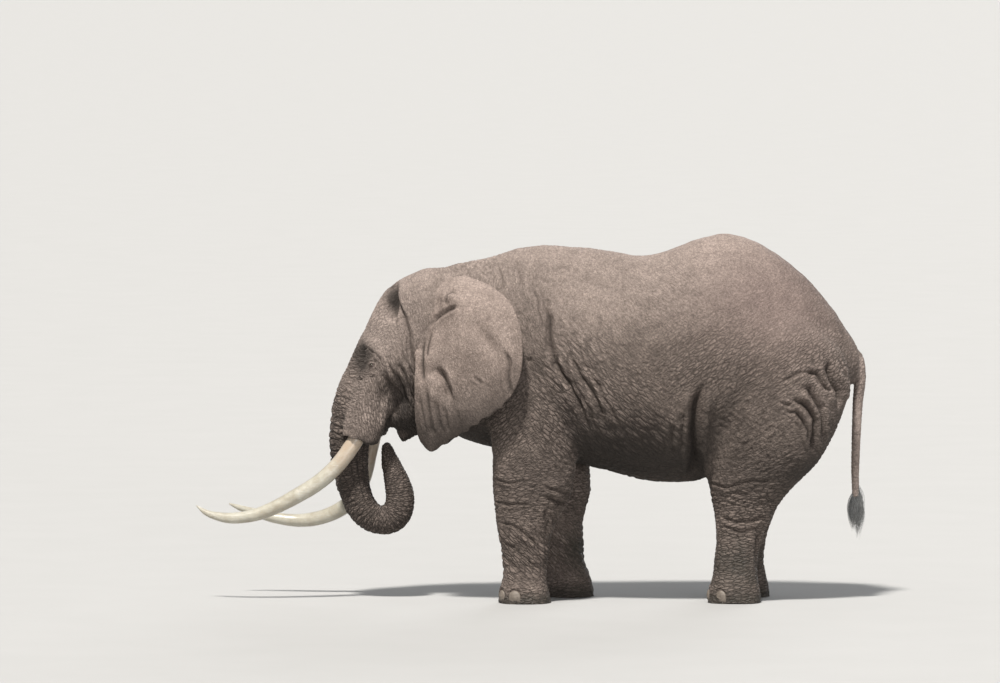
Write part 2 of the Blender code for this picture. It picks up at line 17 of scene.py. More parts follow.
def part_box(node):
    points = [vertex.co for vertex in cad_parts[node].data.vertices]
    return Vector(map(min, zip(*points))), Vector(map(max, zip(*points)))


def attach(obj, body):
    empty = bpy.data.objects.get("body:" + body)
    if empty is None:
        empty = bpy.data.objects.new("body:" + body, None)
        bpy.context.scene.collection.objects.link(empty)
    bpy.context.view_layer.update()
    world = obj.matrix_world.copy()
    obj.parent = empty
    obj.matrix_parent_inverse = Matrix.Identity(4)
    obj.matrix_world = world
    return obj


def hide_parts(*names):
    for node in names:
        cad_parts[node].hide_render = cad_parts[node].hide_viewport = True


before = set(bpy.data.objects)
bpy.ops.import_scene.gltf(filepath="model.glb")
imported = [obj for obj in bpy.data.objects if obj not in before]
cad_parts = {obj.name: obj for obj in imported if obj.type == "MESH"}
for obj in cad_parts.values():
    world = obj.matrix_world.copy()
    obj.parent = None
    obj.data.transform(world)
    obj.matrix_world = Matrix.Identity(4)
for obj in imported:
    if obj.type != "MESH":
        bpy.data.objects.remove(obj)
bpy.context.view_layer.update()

SHIFT = Vector((-0.00103, 0.010775, 0.0))
SHOULDER_HEIGHT = 3.215
BODY_VOXEL = 0.034  # grid in which the body's lofts are fused
SKIN_VOXEL = 0.0112  # grid in which ears and tail grow onto the body
RING_SIDES = 32  # points round each ring of a loft
# Head, trunk, jaw, tusks and ears are measured looking straight ahead, then turned about a pivot
HEAD_TURN = math.radians(-6.0)
HEAD_PIVOT = Vector((-0.55, 0.0, 2.3))

# ---------------------------------------------------------------- body measures
# Torso: distance along the body, top, bottom, half width, height of the widest line
TORSO = [
    (-1.20, 2.80, 1.95, 0.28, 2.35),
    (-0.78, 3.035, 1.55, 0.41, 2.25),
    (-0.42, 3.115, 1.40, 0.55, 2.15),
    (-0.05, 3.22, 1.36, 0.65, 2.10),
    (0.30, SHOULDER_HEIGHT + 0.01, 1.27, 0.74, 2.05),
    (0.70, 3.18, 1.17, 0.82, 2.00),
    (1.05, 3.135, 1.085, 0.86, 1.98),
    (1.38, 3.24, 1.07, 0.84, 1.98),
    (1.70, 3.335, 1.14, 0.77, 2.05),
    (2.00, 3.285, 1.33, 0.69, 2.10),
    (2.30, 3.11, 1.55, 0.58, 2.15),
    (2.60, 2.83, 1.75, 0.44, 2.15),
    (2.86, 2.48, 1.90, 0.27, 2.15),
    (2.985, 2.27, 2.03, 0.10, 2.15),
]
# Fullness of the rounded cross-sections: 2 is an ellipse, more is squarer
SPINE_SHAPE, BELLY_SHAPE = 1.8, 2.15
LEG_SHAPE, NAPE_SHAPE, FACE_SHAPE = 2.2, 2.2, 1.9
# Legs: height, front edge, rear edge, distance of the leg's middle from the midline, half width
FRONT_LEG = [
    (-0.06, -0.305, 0.180, 0.370, 0.235),
    (0.00, -0.305, 0.180, 0.370, 0.235),
    (0.10, -0.295, 0.170, 0.370, 0.228),
    (0.25, -0.262, 0.142, 0.370, 0.195),
    (0.47, -0.275, 0.165, 0.370, 0.188),
    (0.66, -0.310, 0.205, 0.375, 0.198),
    (0.80, -0.330, 0.270, 0.385, 0.208),
    (0.92, -0.345, 0.345, 0.395, 0.220),
    (1.11, -0.357, 0.395, 0.415, 0.235),
    (1.40, -0.358, 0.420, 0.435, 0.255),
    (1.65, -0.362, 0.425, 0.440, 0.265),
    (1.90, -0.350, 0.470, 0.430, 0.265),
    (2.20, -0.280, 0.500, 0.400, 0.255),
    (2.60, -0.100, 0.430, 0.320, 0.230),
]
HIND_LEG = [
    (-0.06, 1.590, 2.095, 0.350, 0.218),
    (0.00, 1.590, 2.095, 0.350, 0.218),
    (0.10, 1.600, 2.085, 0.350, 0.212),
    (0.25, 1.640, 2.055, 0.350, 0.180),
    (0.45, 1.662, 2.068, 0.350, 0.172),
    (0.60, 1.670, 2.105, 0.350, 0.178),
    (0.75, 1.660, 2.168, 0.355, 0.192),
    (0.90, 1.640, 2.255, 0.360, 0.215),
    (1.05, 1.605, 2.385, 0.370, 0.250),
    (1.25, 1.560, 2.575, 0.390, 0.290),
    (1.50, 1.530, 2.730, 0.400, 0.325),
    (1.75, 1.520, 2.835, 0.400, 0.335),
    (2.00, 1.560, 2.895, 0.380, 0.330),
    (2.30, 1.640, 2.800, 0.340, 0.310),
    (2.60, 1.780, 2.480, 0.280, 0.250),
]
# How far the right feet stand behind the left ones; the shift fades out upwards between two heights
RIGHT_FORE_STRIDE, RIGHT_HIND_STRIDE = 0.40, 0.09
STRIDE_FOOT, STRIDE_TOP = 0.15, 1.75
# Head: height, front edge, rear edge, place of the widest line, half width
HEAD = [
    (1.57, -1.600, -1.00, -1.20, 0.190),
    (1.66, -1.640, -0.88, -1.17, 0.270),
    (1.80, -1.680, -0.75, -1.12, 0.335),
    (2.00, -1.650, -0.60, -1.08, 0.385),
    (2.20, -1.595, -0.48, -1.04, 0.410),
    (2.40, -1.535, -0.40, -0.98, 0.405),
    (2.60, -1.455, -0.38, -0.92, 0.385),
    (2.80, -1.330, -0.42, -0.87, 0.325),
    (2.94, -1.160, -0.50, -0.83, 0.235),
    (3.02, -0.960, -0.62, -0.80, 0.110),
]
# Trunk: middle line in the plane of symmetry, half depth across the bend, half width
TRUNK = [
    (-1.370, 2.36, 0.185, 0.210),
    (-1.490, 2.05, 0.205, 0.230),
    (-1.600, 1.78, 0.215, 0.225),
    (-1.655, 1.50, 0.195, 0.205),
    (-1.658, 1.25, 0.175, 0.190),
    (-1.635, 1.08, 0.162, 0.180),
    (-1.597, 0.93, 0.150, 0.170),
    (-1.512, 0.785, 0.140, 0.162),
    (-1.375, 0.705, 0.128, 0.155),
    (-1.245, 0.742, 0.133, 0.148),
    (-1.195, 0.870, 0.137, 0.142),
    (-1.212, 1.030, 0.126, 0.128),
    (-1.262, 1.180, 0.104, 0.106),
    (-1.302, 1.320, 0.070, 0.080),
    (-1.326, 1.430, 0.046, 0.064),
]
# Tusk sheath: place along, height, distance from the midline, half depth, half width
SHEATH = [
    (-1.300, 2.25, 0.130, 0.130, 0.130),
    (-1.400, 1.98, 0.170, 0.185, 0.160),
    (-1.470, 1.72, 0.205, 0.200, 0.155),
    (-1.520, 1.52, 0.232, 0.185, 0.140),
    (-1.540, 1.44, 0.240, 0.165, 0.125),
]
# Lower jaw: place along, height, half depth, half width
JAW = [
    (-0.860, 2.02, 0.260, 0.270),
    (-0.970, 1.79, 0.215, 0.210),
    (-1.070, 1.62, 0.150, 0.140),
    (-1.150, 1.512, 0.085, 0.085),
    (-1.195, 1.437, 0.045, 0.055),
]
# Tusks: place along, height, distance from the midline, radius
LEFT_TUSK = [
    (-1.475, 1.620, 0.225, 0.066),
    (-1.600, 1.418, 0.250, 0.072),
    (-1.709, 1.264, 0.275, 0.071),
    (-1.864, 1.109, 0.310, 0.070),
    (-2.105, 0.952, 0.350, 0.067),
    (-2.309, 0.845, 0.375, 0.062),
    (-2.482, 0.780, 0.385, 0.056),
    (-2.773, 0.757, 0.370, 0.042),
    (-2.936, 0.800, 0.340, 0.026),
    (-3.022, 0.857, 0.315, 0.006),
]
RIGHT_TUSK = [
    (-1.440, 1.560, 0.225, 0.066),
    (-1.500, 1.330, 0.250, 0.070),
    (-1.570, 1.070, 0.285, 0.069),
    (-1.705, 0.850, 0.325, 0.067),
    (-1.900, 0.732, 0.365, 0.064),
    (-2.140, 0.680, 0.395, 0.059),
    (-2.370, 0.695, 0.405, 0.051),
    (-2.600, 0.755, 0.385, 0.036),
    (-2.735, 0.800, 0.360, 0.022),
    (-2.812, 0.832, 0.340, 0.006),
]
TUSK_ROWS, TUSK_SIDES = 60, 56  # rings along a tusk and points round each
# Ear outline, top to bottom: place along, height, distance from the midline
EAR_FRONT = [
    (-0.760, 2.940, 0.215),
    (-0.880, 2.820, 0.310),
    (-0.950, 2.600, 0.370),
    (-0.985, 2.350, 0.400),
    (-1.005, 2.100, 0.435),
    (-1.010, 1.850, 0.445),
    (-1.000, 1.620, 0.430),
    (-0.965, 1.470, 0.410),
    (-0.915, 1.405, 0.400),
]
EAR_REAR = [
    (-0.560, 2.965, 0.310),
    (-0.300, 2.870, 0.470),
    (-0.110, 2.720, 0.640),
    (-0.020, 2.530, 0.740),
    (0.010, 2.330, 0.800),
    (-0.010, 2.080, 0.815),
    (-0.110, 1.870, 0.800),
    (-0.420, 1.620, 0.700),
    (-0.790, 1.410, 0.475),
]
EAR_BULGE = 0.055  # how far the ear's middle stands out
EAR_THICKNESS = 0.028  # while the ear is grown onto the head; EAR_THINNING then slims it
EAR_THINNING = 0.42  # the share of its thickness that the ear keeps
# Tail: place along, height, radius
TAIL = [
    (2.860, 2.270, 0.070),
    (2.955, 2.200, 0.066),
    (2.988, 2.060, 0.058),
    (2.972, 1.800, 0.049),
    (2.955, 1.400, 0.042),
    (2.950, 1.100, 0.037),
    (2.955, 0.930, 0.034),
]
TUFT_X = 2.957  # place along of the tail's brush
# Bearings of the toenails round each foot, in degrees from straight ahead towards the outer side
FRONT_NAILS = (-66, -24, 24, 62)
HIND_NAILS = (-52, 0, 50)
NAIL_HALF_WIDTH, NAIL_RISE, NAIL_BACK = 0.058, 0.019, 0.012
# Where the hide is painted paler (dust and painted light) or darker (painted shade) than its surroundings:
# middle, reach, change
DUST_LIGHT_AND_SHADE = [
    ((0.45, 1.75), (0.42, 0.60), 0.24),
    ((0.45, 0.70), (0.50, 0.70), 0.26),
    ((2.80, 1.65), (0.40, 0.60), 0.60),
    ((2.10, 0.75), (0.45, 0.55), 0.20),
    ((1.35, 1.75), (0.55, 0.45), -0.16),
    ((1.50, 2.30), (1.00, 0.35), -0.22),
    ((2.30, 2.75), (0.60, 0.45), -0.22),
    ((-1.42, 2.50), (0.15, 0.20), 0.55),
    ((-1.42, 1.75), (0.16, 0.22), 0.22),
]
# Places that the material darkens or tints, each a middle and a reach seen from the side; the first three
# are painted shade
EYE_SOCKET = ((-1.52, 2.21), (0.10, 0.13))
TEMPLE_PIT = ((-1.243, 2.765), (0.055, 0.105))
CHEEK_HOLLOW = ((-1.13, 1.78), (0.12, 0.26))
RUMP = ((2.25, 2.75), (0.75, 0.55))
FAR_FORE_MUD = ((0.46, 0.44), (0.13, 0.20))
HIND_MUD = ((1.86, 0.34), (0.30, 0.25))
# Dents and swellings of the head: place, radius, push along the body, outward push
HEAD_BRUSHES = [
    ((-1.27, 0.34, 2.69), 0.19, 0.00, -0.060),  # temple hollow
    ((-1.43, 0.33, 2.30), 0.12, -0.01, 0.030),  # brow over the eye
    ((-1.24, 0.40, 2.20), 0.17, 0.00, 0.030),  # cheekbone
    ((-1.22, 0.34, 1.86), 0.22, 0.00, -0.090),  # hollow under the cheekbone
    ((-1.56, 0.22, 2.02), 0.13, 0.00, -0.025),  # between the brow and the tusk sheath
]
# Finer forms of the head's sides, before it is turned: place, reach, outward push
HEAD_FORMS = [
    ((-1.238, 2.765), (0.040, 0.115), -0.110),  # pit of the temple
    ((-1.215, 2.640), (0.034, 0.070), -0.055),
    ((-1.155, 2.770), (0.050, 0.110), 0.034),
    ((-1.305, 2.760), (0.040, 0.110), 0.024),
    ((-1.535, 2.20), (0.055, 0.095), -0.042),  # eye socket
    ((-1.455, 2.235), (0.050, 0.028), -0.022),
    ((-1.450, 2.335), (0.080, 0.042), 0.030),  # brow ridge
    ((-1.360, 2.255), (0.045, 0.045), 0.022),
    ((-1.400, 2.070), (0.050, 0.030), 0.014),  # bag under the eye
    ((-1.400, 1.800), (0.090, 0.200), 0.022),  # panel of the tusk sheath
    ((-1.180, 2.000), (0.035, 0.080), -0.030),  # hollow behind it
    ((-1.155, 1.850), (0.050, 0.100), -0.055),
    ((-1.200, 1.660), (0.050, 0.100), -0.060),
    ((-1.080, 2.120), (0.030, 0.100), 0.012),
    ((-1.030, 2.740), (0.080, 0.100), 0.020),  # dome behind the temple
]
# Finer forms of the body's sides: place, reach, outward push
BODY_FORMS = [
    ((0.25, 2.50), (0.12, 0.36), -0.022),  # behind the shoulder blade
    ((0.02, 2.45), (0.15, 0.40), 0.014),
    ((0.95, 1.90), (0.45, 0.35), 0.012),
    ((1.44, 1.72), (0.11, 0.34), -0.024),  # before the thigh
    ((1.86, 2.62), (0.22, 0.15), -0.020),  # before the hip
    ((2.35, 2.45), (0.20, 0.20), 0.014),
    ((0.23, 1.06), (0.09, 0.09), 0.014),  # elbow
    ((1.68, 1.04), (0.12, 0.14), 0.016),  # knee
    ((2.12, 0.78), (0.07, 0.10), 0.014),  # hock
    ((-0.20, 0.74), (0.13, 0.12), 0.010),  # wrist
    ((-0.10, 0.36), (0.20, 0.14), -0.008),
    ((-0.02, 2.215), (0.028, 0.020), -0.030),  # small notch behind the ear
]
# Where creases between the lofts are softened: place, radius
SOFT_ZONES = [
    ((0.10, 0.60, 1.75), 0.75),
    ((0.10, -0.60, 1.75), 0.75),
    ((1.70, 0.62, 1.55), 0.70),
    ((1.70, -0.62, 1.55), 0.70),
    ((2.25, 0.00, 2.00), 0.85),
    ((-0.70, 0.00, 2.30), 0.80),
    ((-1.15, 0.00, 1.95), 0.50),
    ((1.95, 0.00, 2.90), 0.60),
]


# ---------------------------------------------------------------- mesh helpers
def resample(keys, count, places):
    """count rows along a smooth curve through the keys, whose first columns are its places."""
    keys = np.array(keys, float)
    steps = np.linalg.norm(np.diff(keys[:, :places], axis=0), axis=1)
    at = np.concatenate([[0], np.cumsum(steps)])
    slope = np.gradient(keys, at, axis=0)
    want = np.linspace(0, at[-1], count)
    i = np.clip(np.searchsorted(at, want, side="right") - 1, 0, len(at) - 2)
    h = (at[i + 1] - at[i])[:, None]
    t = ((want - at[i])[:, None]) / h
    a, b = keys[i], keys[i + 1]
    return (
        (2 * t**3 - 3 * t**2 + 1) * a
        + (t**3 - 2 * t**2 + t) * h * slope[i]
        + (3 * t**2 - 2 * t**3) * b
        + (t**3 - t**2) * h * slope[i + 1]
    )


def bulge(value, power):
    """A sine or cosine reshaped for a cross-section of the given fullness."""
    return math.copysign(abs(value) ** (2.0 / power), value)


def angles(sides=RING_SIDES):
    return [2 * math.pi * k / sides for k in range(sides)]


def add_object(name, data):
    obj = bpy.data.objects.new(name, data)
    bpy.context.scene.collection.objects.link(obj)
    return obj


def to_object(name, mesh):
    data = bpy.data.meshes.new(name)
    mesh.to_mesh(data)
    mesh.free()
    return add_object(name, data)


@contextlib.contextmanager
def opened(obj):
    """The object's mesh, open for changes that are written back at the end."""
    mesh = bmesh.new()
    mesh.from_mesh(obj.data)
    yield mesh
    mesh.to_mesh(obj.data)
    mesh.free()


def unit(value):
    """The value, held between 0 and 1."""
    return np.clip(value, 0, 1)


def hump(value, width):
    """1 where the value is 0, falling softly to nothing past the width on both sides."""
    return np.exp(-((value / width) ** 2))


def saw(value):
    """1 at each whole number, falling to 0 halfway between two."""
    return np.abs((value % 1.0) - 0.5) * 2


def spot(x, z, centre, reach):
    """A soft oval seen from the side: 1 at its centre, falling to nothing past its reach."""
    return np.exp(-(((x - centre[0]) / reach[0]) ** 2) - ((z - centre[1]) / reach[1]) ** 2)


def face_outward(mesh):
    bmesh.ops.recalc_face_normals(mesh, faces=mesh.faces)
    if mesh.calc_volume(signed=True) < 0:
        bmesh.ops.reverse_faces(mesh, faces=mesh.faces)


def loft(name, rings):
    """A closed mesh through rings of the same number of points."""
    mesh = bmesh.new()
    rows = [[mesh.verts.new(point) for point in ring] for ring in rings]
    for low, high in zip(rows, rows[1:]):
        for k in range(len(low)):
            after = (k + 1) % len(low)
            mesh.faces.new((low[k], low[after], high[after], high[k]))
    mesh.faces.new(reversed(rows[0]))
    mesh.faces.new(rows[-1])
    face_outward(mesh)
    return to_object(name, mesh)


def apply_modifiers(obj):
    bpy.context.view_layer.update()
    graph = bpy.context.evaluated_depsgraph_get()
    done = bpy.data.meshes.new_from_object(obj.evaluated_get(graph))
    obj.modifiers.clear()
    obj.data = done
    return obj


def join(name, objects):
    mesh = bmesh.new()
    for obj in objects:
        mesh.from_mesh(obj.data)
        bpy.data.objects.remove(obj)
    return to_object(name, mesh)


def head_matrix():
    turn = Matrix.Translation(HEAD_PIVOT) @ Matrix.Rotation(HEAD_TURN, 4, "Z")
    return turn @ Matrix.Translation(-HEAD_PIVOT)


def turn_head(obj):
    obj.data.transform(head_matrix())
    return obj


def fuse(obj, size):
    remesh = obj.modifiers.new("fuse", "REMESH")
    remesh.mode = "VOXEL"
    remesh.voxel_size = size
    return apply_modifiers(obj)


def soften(obj, iterations, zones=None):
    smooth = obj.modifiers.new("soften", "SMOOTH")
    smooth.factor = 0.5
    smooth.iterations = iterations
    if zones:
        group = obj.vertex_groups.new(name="zones")
        points = get_points(obj)
        weight = np.zeros(len(points))
        for centre, radius in zones:
            away = np.linalg.norm(points - np.array(centre), axis=1) / radius
            weight = np.maximum(weight, unit(1.6 * (1 - away)))
        for index in np.flatnonzero(weight > 0.01):
            group.add([int(index)], float(weight[index]), "REPLACE")
        smooth.vertex_group = "zones"
    return apply_modifiers(obj)


def get_points(obj):
    points = np.empty(len(obj.data.vertices) * 3)
    obj.data.vertices.foreach_get("co", points)
    return points.reshape(-1, 3)


def set_points(obj, points):
    obj.data.vertices.foreach_set("co", points.ravel())
    obj.data.update()


def get_normals(obj):
    normals = np.empty(len(obj.data.vertices) * 3, np.float32)
    obj.data.vertex_normals.foreach_get("vector", normals)
    return normals.reshape(-1, 3).astype(float)


def keep_values(obj, name, values):
    """Stores one number for each vertex, for the materials to read."""
    layer = obj.data.attributes.new(name, "FLOAT", "POINT")
    layer.data.foreach_set("value", values.astype(np.float32))


# ---------------------------------------------------------------- fixed noise
def lattice(i, j, k, seed):
    """A fixed pseudo-random number from 0 to 1 for each whole-number place."""
    with np.errstate(over="ignore"):
        h = (i * 73856093) ^ (j * 19349663) ^ (k * 83492791) ^ np.int64(seed * 2654435761)
        h = (h ^ (h >> 13)) * np.int64(1274126177)
        h = (h ^ (h >> 16)) & 0xFFFFFF
    return h / float(0xFFFFFF)


def noise(points, seed):
    """Smooth noise from -1 to 1 with features about one unit across."""
    base = np.floor(points).astype(np.int64)
    t = points - base
    t = t * t * (3 - 2 * t)
    total = np.zeros(len(points))
    for a in (0, 1):
        for b in (0, 1):
            for c in (0, 1):
                share = (
                    (t[:, 0] if a else 1 - t[:, 0])
                    * (t[:, 1] if b else 1 - t[:, 1])
                    * (t[:, 2] if c else 1 - t[:, 2])
                )
                total += share * lattice(base[:, 0] + a, base[:, 1] + b, base[:, 2] + c, seed)
    return 2 * total - 1


def noise_vector(points, seed):
    return np.stack([noise(points, seed + n) for n in range(3)], axis=1)


def cell_edges(points, seed):
    """How far each place is from the border of its random cell, 0 on the border."""
    base = np.floor(points).astype(np.int64)
    nearest = np.full(len(points), 9.0)
    second = np.full(len(points), 9.0)
    for a in (-1, 0, 1):
        for b in (-1, 0, 1):
            for c in (-1, 0, 1):
                i, j, k = base[:, 0] + a, base[:, 1] + b, base[:, 2] + c
                away = (i + 0.1 + 0.8 * lattice(i, j, k, seed) - points[:, 0]) ** 2
                away += (j + 0.1 + 0.8 * lattice(i, j, k, seed + 7) - points[:, 1]) ** 2
                away += (k + 0.1 + 0.8 * lattice(i, j, k, seed + 13) - points[:, 2]) ** 2
                away = np.sqrt(away)
                second = np.minimum(second, np.maximum(nearest, away))
                nearest = np.minimum(nearest, away)
    return second - nearest


# ---------------------------------------------------------------- body lofts
def torso():
    rings = []
    for x, top, bottom, half, widest in resample(TORSO, 40, 1):
        ring = []
        for a in angles():
            up = math.sin(a)
            rise = (top - widest) if up > 0 else (widest - bottom)
            shape = SPINE_SHAPE if up > 0 else BELLY_SHAPE
            ring.append((x, half * bulge(math.cos(a), shape), widest + rise * bulge(up, shape)))
        rings.append(ring)
    return loft("torso", rings)


def stride_at(z, stride):
    """How far a leg that stands stride behind its fellow is shifted at a height."""
    return stride * unit((STRIDE_TOP - z) / (STRIDE_TOP - STRIDE_FOOT))


def leg(name, keys, side, stride):
    rings = []
    for z, front, rear, middle, half in resample(keys, 34, 1):
        centre, reach = (front + rear) / 2 + stride_at(z, stride), (rear - front) / 2
        rings.append(
            [
                (centre + reach * bulge(math.cos(a), LEG_SHAPE),
                 side * middle + half * bulge(math.sin(a), LEG_SHAPE), z)
                for a in angles()
            ]
        )
    return loft(name, rings)


def head():
    rings = []
    for z, front, rear, widest, half in resample(HEAD, 24, 1):
        ring = []
        for a in angles():
            reach = (rear - widest) if math.cos(a) > 0 else (widest - front)
            shape = NAPE_SHAPE if math.cos(a) > 0 else FACE_SHAPE
            ring.append((widest + reach * bulge(math.cos(a), shape), half * bulge(math.sin(a), 2), z))
        rings.append(ring)
    return turn_head(loft("head", rings))


def sweep(name, rows):
    """A loft whose rings stand square to a middle line in a plane of constant Y."""
    rows = np.array(rows)
    along = np.gradient(rows[:, :3], axis=0)
    rings = []
    for (x, z, y, depth, half), (dx, dz, _) in zip(rows, along):
        length = math.hypot(dx, dz)
        across = (dz / length, -dx / length)
        rings.append(
            [
                (x + across[0] * depth * math.cos(a), y + half * math.sin(a),
                 z + across[1] * depth * math.cos(a))
                for a in angles()
            ]
        )
    return loft(name, rings)


def tube(name, rows, sides):
    """A round solid along a line of (x, y, z, radius) rows."""
    rows = np.array(rows)
    rings = []
    along = np.gradient(rows[:, :3], axis=0)
    for (x, y, z, radius), direction in zip(rows, along):
        forward = Vector(direction).normalized()
        out = Vector((0, 1, 0)).cross(forward).normalized()
        other = forward.cross(out)
        rings.append(
            [
                Vector((x, y, z)) + float(radius) * (math.cos(a) * out + math.sin(a) * other)
                for a in angles(sides)
            ]
        )
    return loft(name, rings)


def press(points, brushes):
    """Pushes points in and out at the brushes, on both sides of the head."""
    turn = head_matrix()
    for (x, y, z), radius, along, out in brushes:
        for side in (-1, 1):
            middle = turn @ Vector((x, side * y, z))
            push = turn.to_3x3() @ Vector((along, side * out, 0))
            away = np.linalg.norm(points - np.array(middle), axis=1) / radius
            points = points + np.exp(-2.5 * away**2)[:, None] * np.array(push)
    return points


# ---------------------------------------------------------------- strokes and regions
def line_distance(x, z, line):
    """Distance to a line of (x, z) points seen from the side, and the share of its length passed."""
    line = np.array(line, float)
    lengths = np.linalg.norm(np.diff(line, axis=0), axis=1)
    passed = np.concatenate([[0], np.cumsum(lengths)])
    best = np.full(len(x), 9.0)
    share = np.zeros(len(x))
    for start, end, length, before in zip(line, line[1:], lengths, passed):
        ax, az = (end - start) / length
        t = np.clip((x - start[0]) * ax + (z - start[1]) * az, 0, length)
        away = np.hypot(x - start[0] - t * ax, z - start[1] - t * az)
        nearer = away < best
        best = np.where(nearer, away, best)
        share = np.where(nearer, (before + t) / passed[-1], share)
    return best, share


def fold(x, z, line, width):
    """A sharp groove of depth 1 along a line, and the swollen shoulders on its two sides."""
    away, share = line_distance(x, z, line)
    taper = unit(np.minimum(share, 1 - share) * 5)
    taper = taper * taper * (3 - 2 * taper)
    groove = np.exp(-np.sqrt((away / width) ** 2 + 0.04) + 0.2) * taper
    shoulder = hump(away - 2.6 * width, 1.4 * width) * taper
    return groove, shoulder


# Deep folds of the skin, seen from the side: line, width, depth
BODY_FOLDS = [
    # behind the shoulder
    ([(0.11, 2.86), (0.160, 2.58), (0.168, 2.35), (0.216, 2.19), (0.32, 2.02), (0.44, 1.82),
      (0.535, 1.55)], 0.020, 0.034),
    ([(0.33, 2.30), (0.367, 2.23), (0.472, 2.04), (0.60, 1.82), (0.67, 1.62)], 0.016, 0.022),
    ([(0.27, 2.28), (0.40, 1.98), (0.53, 1.76), (0.60, 1.56)], 0.011, 0.012),
    ([(0.52, 2.14), (0.63, 1.93), (0.76, 1.72), (0.84, 1.56)], 0.012, 0.012),
    ([(0.05, 2.80), (0.085, 2.62), (0.10, 2.46)], 0.014, 0.012),
    # flank, before the thigh
    ([(1.55, 2.02), (1.490, 1.84), (1.468, 1.60), (1.470, 1.34), (1.50, 1.10)], 0.034, 0.058),
    ([(1.38, 1.80), (1.355, 1.60), (1.36, 1.38)], 0.020, 0.018),
    ([(1.28, 1.66), (1.265, 1.48), (1.28, 1.32)], 0.018, 0.012),
    # buttock
    ([(2.33, 1.86), (2.44, 1.83), (2.515, 1.76), (2.550, 1.66), (2.545, 1.52), (2.555, 1.36)],
     0.022, 0.042),
    ([(2.41, 1.98), (2.50, 1.96), (2.56, 1.87), (2.605, 1.77), (2.625, 1.65), (2.630, 1.47)],
     0.020, 0.036),
    ([(2.45, 2.11), (2.57, 2.10), (2.61, 2.02), (2.66, 1.95), (2.73, 1.93)], 0.017, 0.026),
    ([(2.68, 2.22), (2.675, 2.11), (2.72, 2.02), (2.785, 1.92), (2.80, 1.78)], 0.026, 0.045),
    ([(2.27, 1.75), (2.38, 1.745), (2.45, 1.68), (2.49, 1.57), (2.50, 1.43)], 0.015, 0.022),
    ([(2.22, 1.84), (2.33, 1.80), (2.42, 1.76)], 0.012, 0.012),
    ([(2.25, 2.02), (2.40, 2.09), (2.50, 2.12)], 0.012, 0.010),
    # stifle and hock
    ([(1.55, 1.10), (1.75, 1.06), (2.00, 1.12), (2.25, 1.13)], 0.012, 0.010),
    ([(1.68, 0.80), (1.85, 0.74), (2.02, 0.76), (2.16, 0.80)], 0.013, 0.012),
    ([(1.70, 0.70), (1.90, 0.66), (2.10, 0.70)], 0.011, 0.009),
    ([(2.06, 0.66), (2.045, 0.48), (2.05, 0.28)], 0.014, 0.016),
    # elbow and wrist
    ([(0.12, 0.98), (0.25, 0.925), (0.38, 0.90)], 0.015, 0.020),
    ([(0.10, 1.06), (0.24, 1.03), (0.40, 1.00)], 0.012, 0.012),
    ([(-0.36, 0.93), (-0.18, 0.905), (0.0, 0.91)], 0.010, 0.009),
    ([(-0.36, 1.13), (-0.20, 1.10), (-0.06, 1.11)], 0.010, 0.008),
    ([(0.12, 0.88), (0.15, 0.74), (0.13, 0.60)], 0.013, 0.014),
    ([(0.17, 0.86), (0.21, 0.74), (0.20, 0.64)], 0.010, 0.010),
    ([(-0.30, 0.76), (-0.14, 0.70), (0.04, 0.55), (0.10, 0.48)], 0.011, 0.009),
    ([(-0.30, 0.58), (-0.14, 0.50), (0.00, 0.38), (0.09, 0.30)], 0.011, 0.009),
    ([(-0.29, 0.46), (-0.18, 0.36), (-0.05, 0.24)], 0.010, 0.008),
    # neck
    ([(-0.30, 3.08), (-0.26, 2.94), (-0.24, 2.82)], 0.014, 0.010),
    ([(-0.14, 3.12), (-0.10, 2.98), (-0.09, 2.84)], 0.014, 0.010),
]
# Folds of the head, in the head's own measures before it is turned
HEAD_FOLDS = [
    ([(-1.22, 2.86), (-1.185, 2.73), (-1.122, 2.56), (-1.058, 2.38), (-1.00, 2.13), (-0.98, 1.82)],
     0.018, 0.040),
    ([(-1.10, 2.46), (-1.07, 2.26), (-1.04, 2.06), (-1.01, 1.80)], 0.012, 0.016),
    ([(-0.74, 2.640), (-0.82, 2.59), (-0.90, 2.50), (-0.94, 2.40)], 0.014, 0.016),
    ([(-1.28, 2.19), (-1.20, 2.06), (-1.13, 1.90), (-1.09, 1.76)], 0.013, 0.022),
    ([(-1.19, 2.21), (-1.11, 2.08), (-1.05, 1.92), (-1.01, 1.78)], 0.013, 0.022),
    ([(-1.14, 2.30), (-1.08, 2.18), (-1.03, 2.05)], 0.010, 0.012),
    ([(-1.34, 2.12), (-1.275, 2.00), (-1.215, 1.85), (-1.235, 1.69), (-1.31, 1.49)], 0.024, 0.050),
    ([(-1.38, 2.06), (-1.345, 1.92), (-1.33, 1.78)], 0.010, 0.009),
    ([(-1.42, 2.05), (-1.41, 1.90), (-1.40, 1.75)], 0.009, 0.007),
    ([(-1.47, 2.06), (-1.49, 1.93), (-1.50, 1.80)], 0.009, 0.007),
    ([(-1.58, 1.98), (-1.52, 2.02), (-1.46, 2.07)], 0.012, 0.010),
    ([(-1.50, 2.25), (-1.44, 2.28), (-1.38, 2.25), (-1.33, 2.17)], 0.011, 0.010),
    ([(-0.99, 2.86), (-0.96, 2.76), (-0.97, 2.66)], 0.009, 0.007),
    ([(-1.06, 2.84), (-1.03, 2.73), (-1.04, 2.62)], 0.009, 0.006),
    ([(-1.12, 2.80), (-1.10, 2.70), (-1.11, 2.58)], 0.009, 0.006),
]
# The material's nets of fine creases: name, lie in degrees, spacing, length over spacing
NETS = (
    ("net_flat", 4.0, 0.024, 3.2),
    ("net_up", 38.0, 0.024, 3.0),
    ("net_steep", 104.0, 0.022, 3.4),
    ("net_down", 138.0, 0.026, 3.2),
)
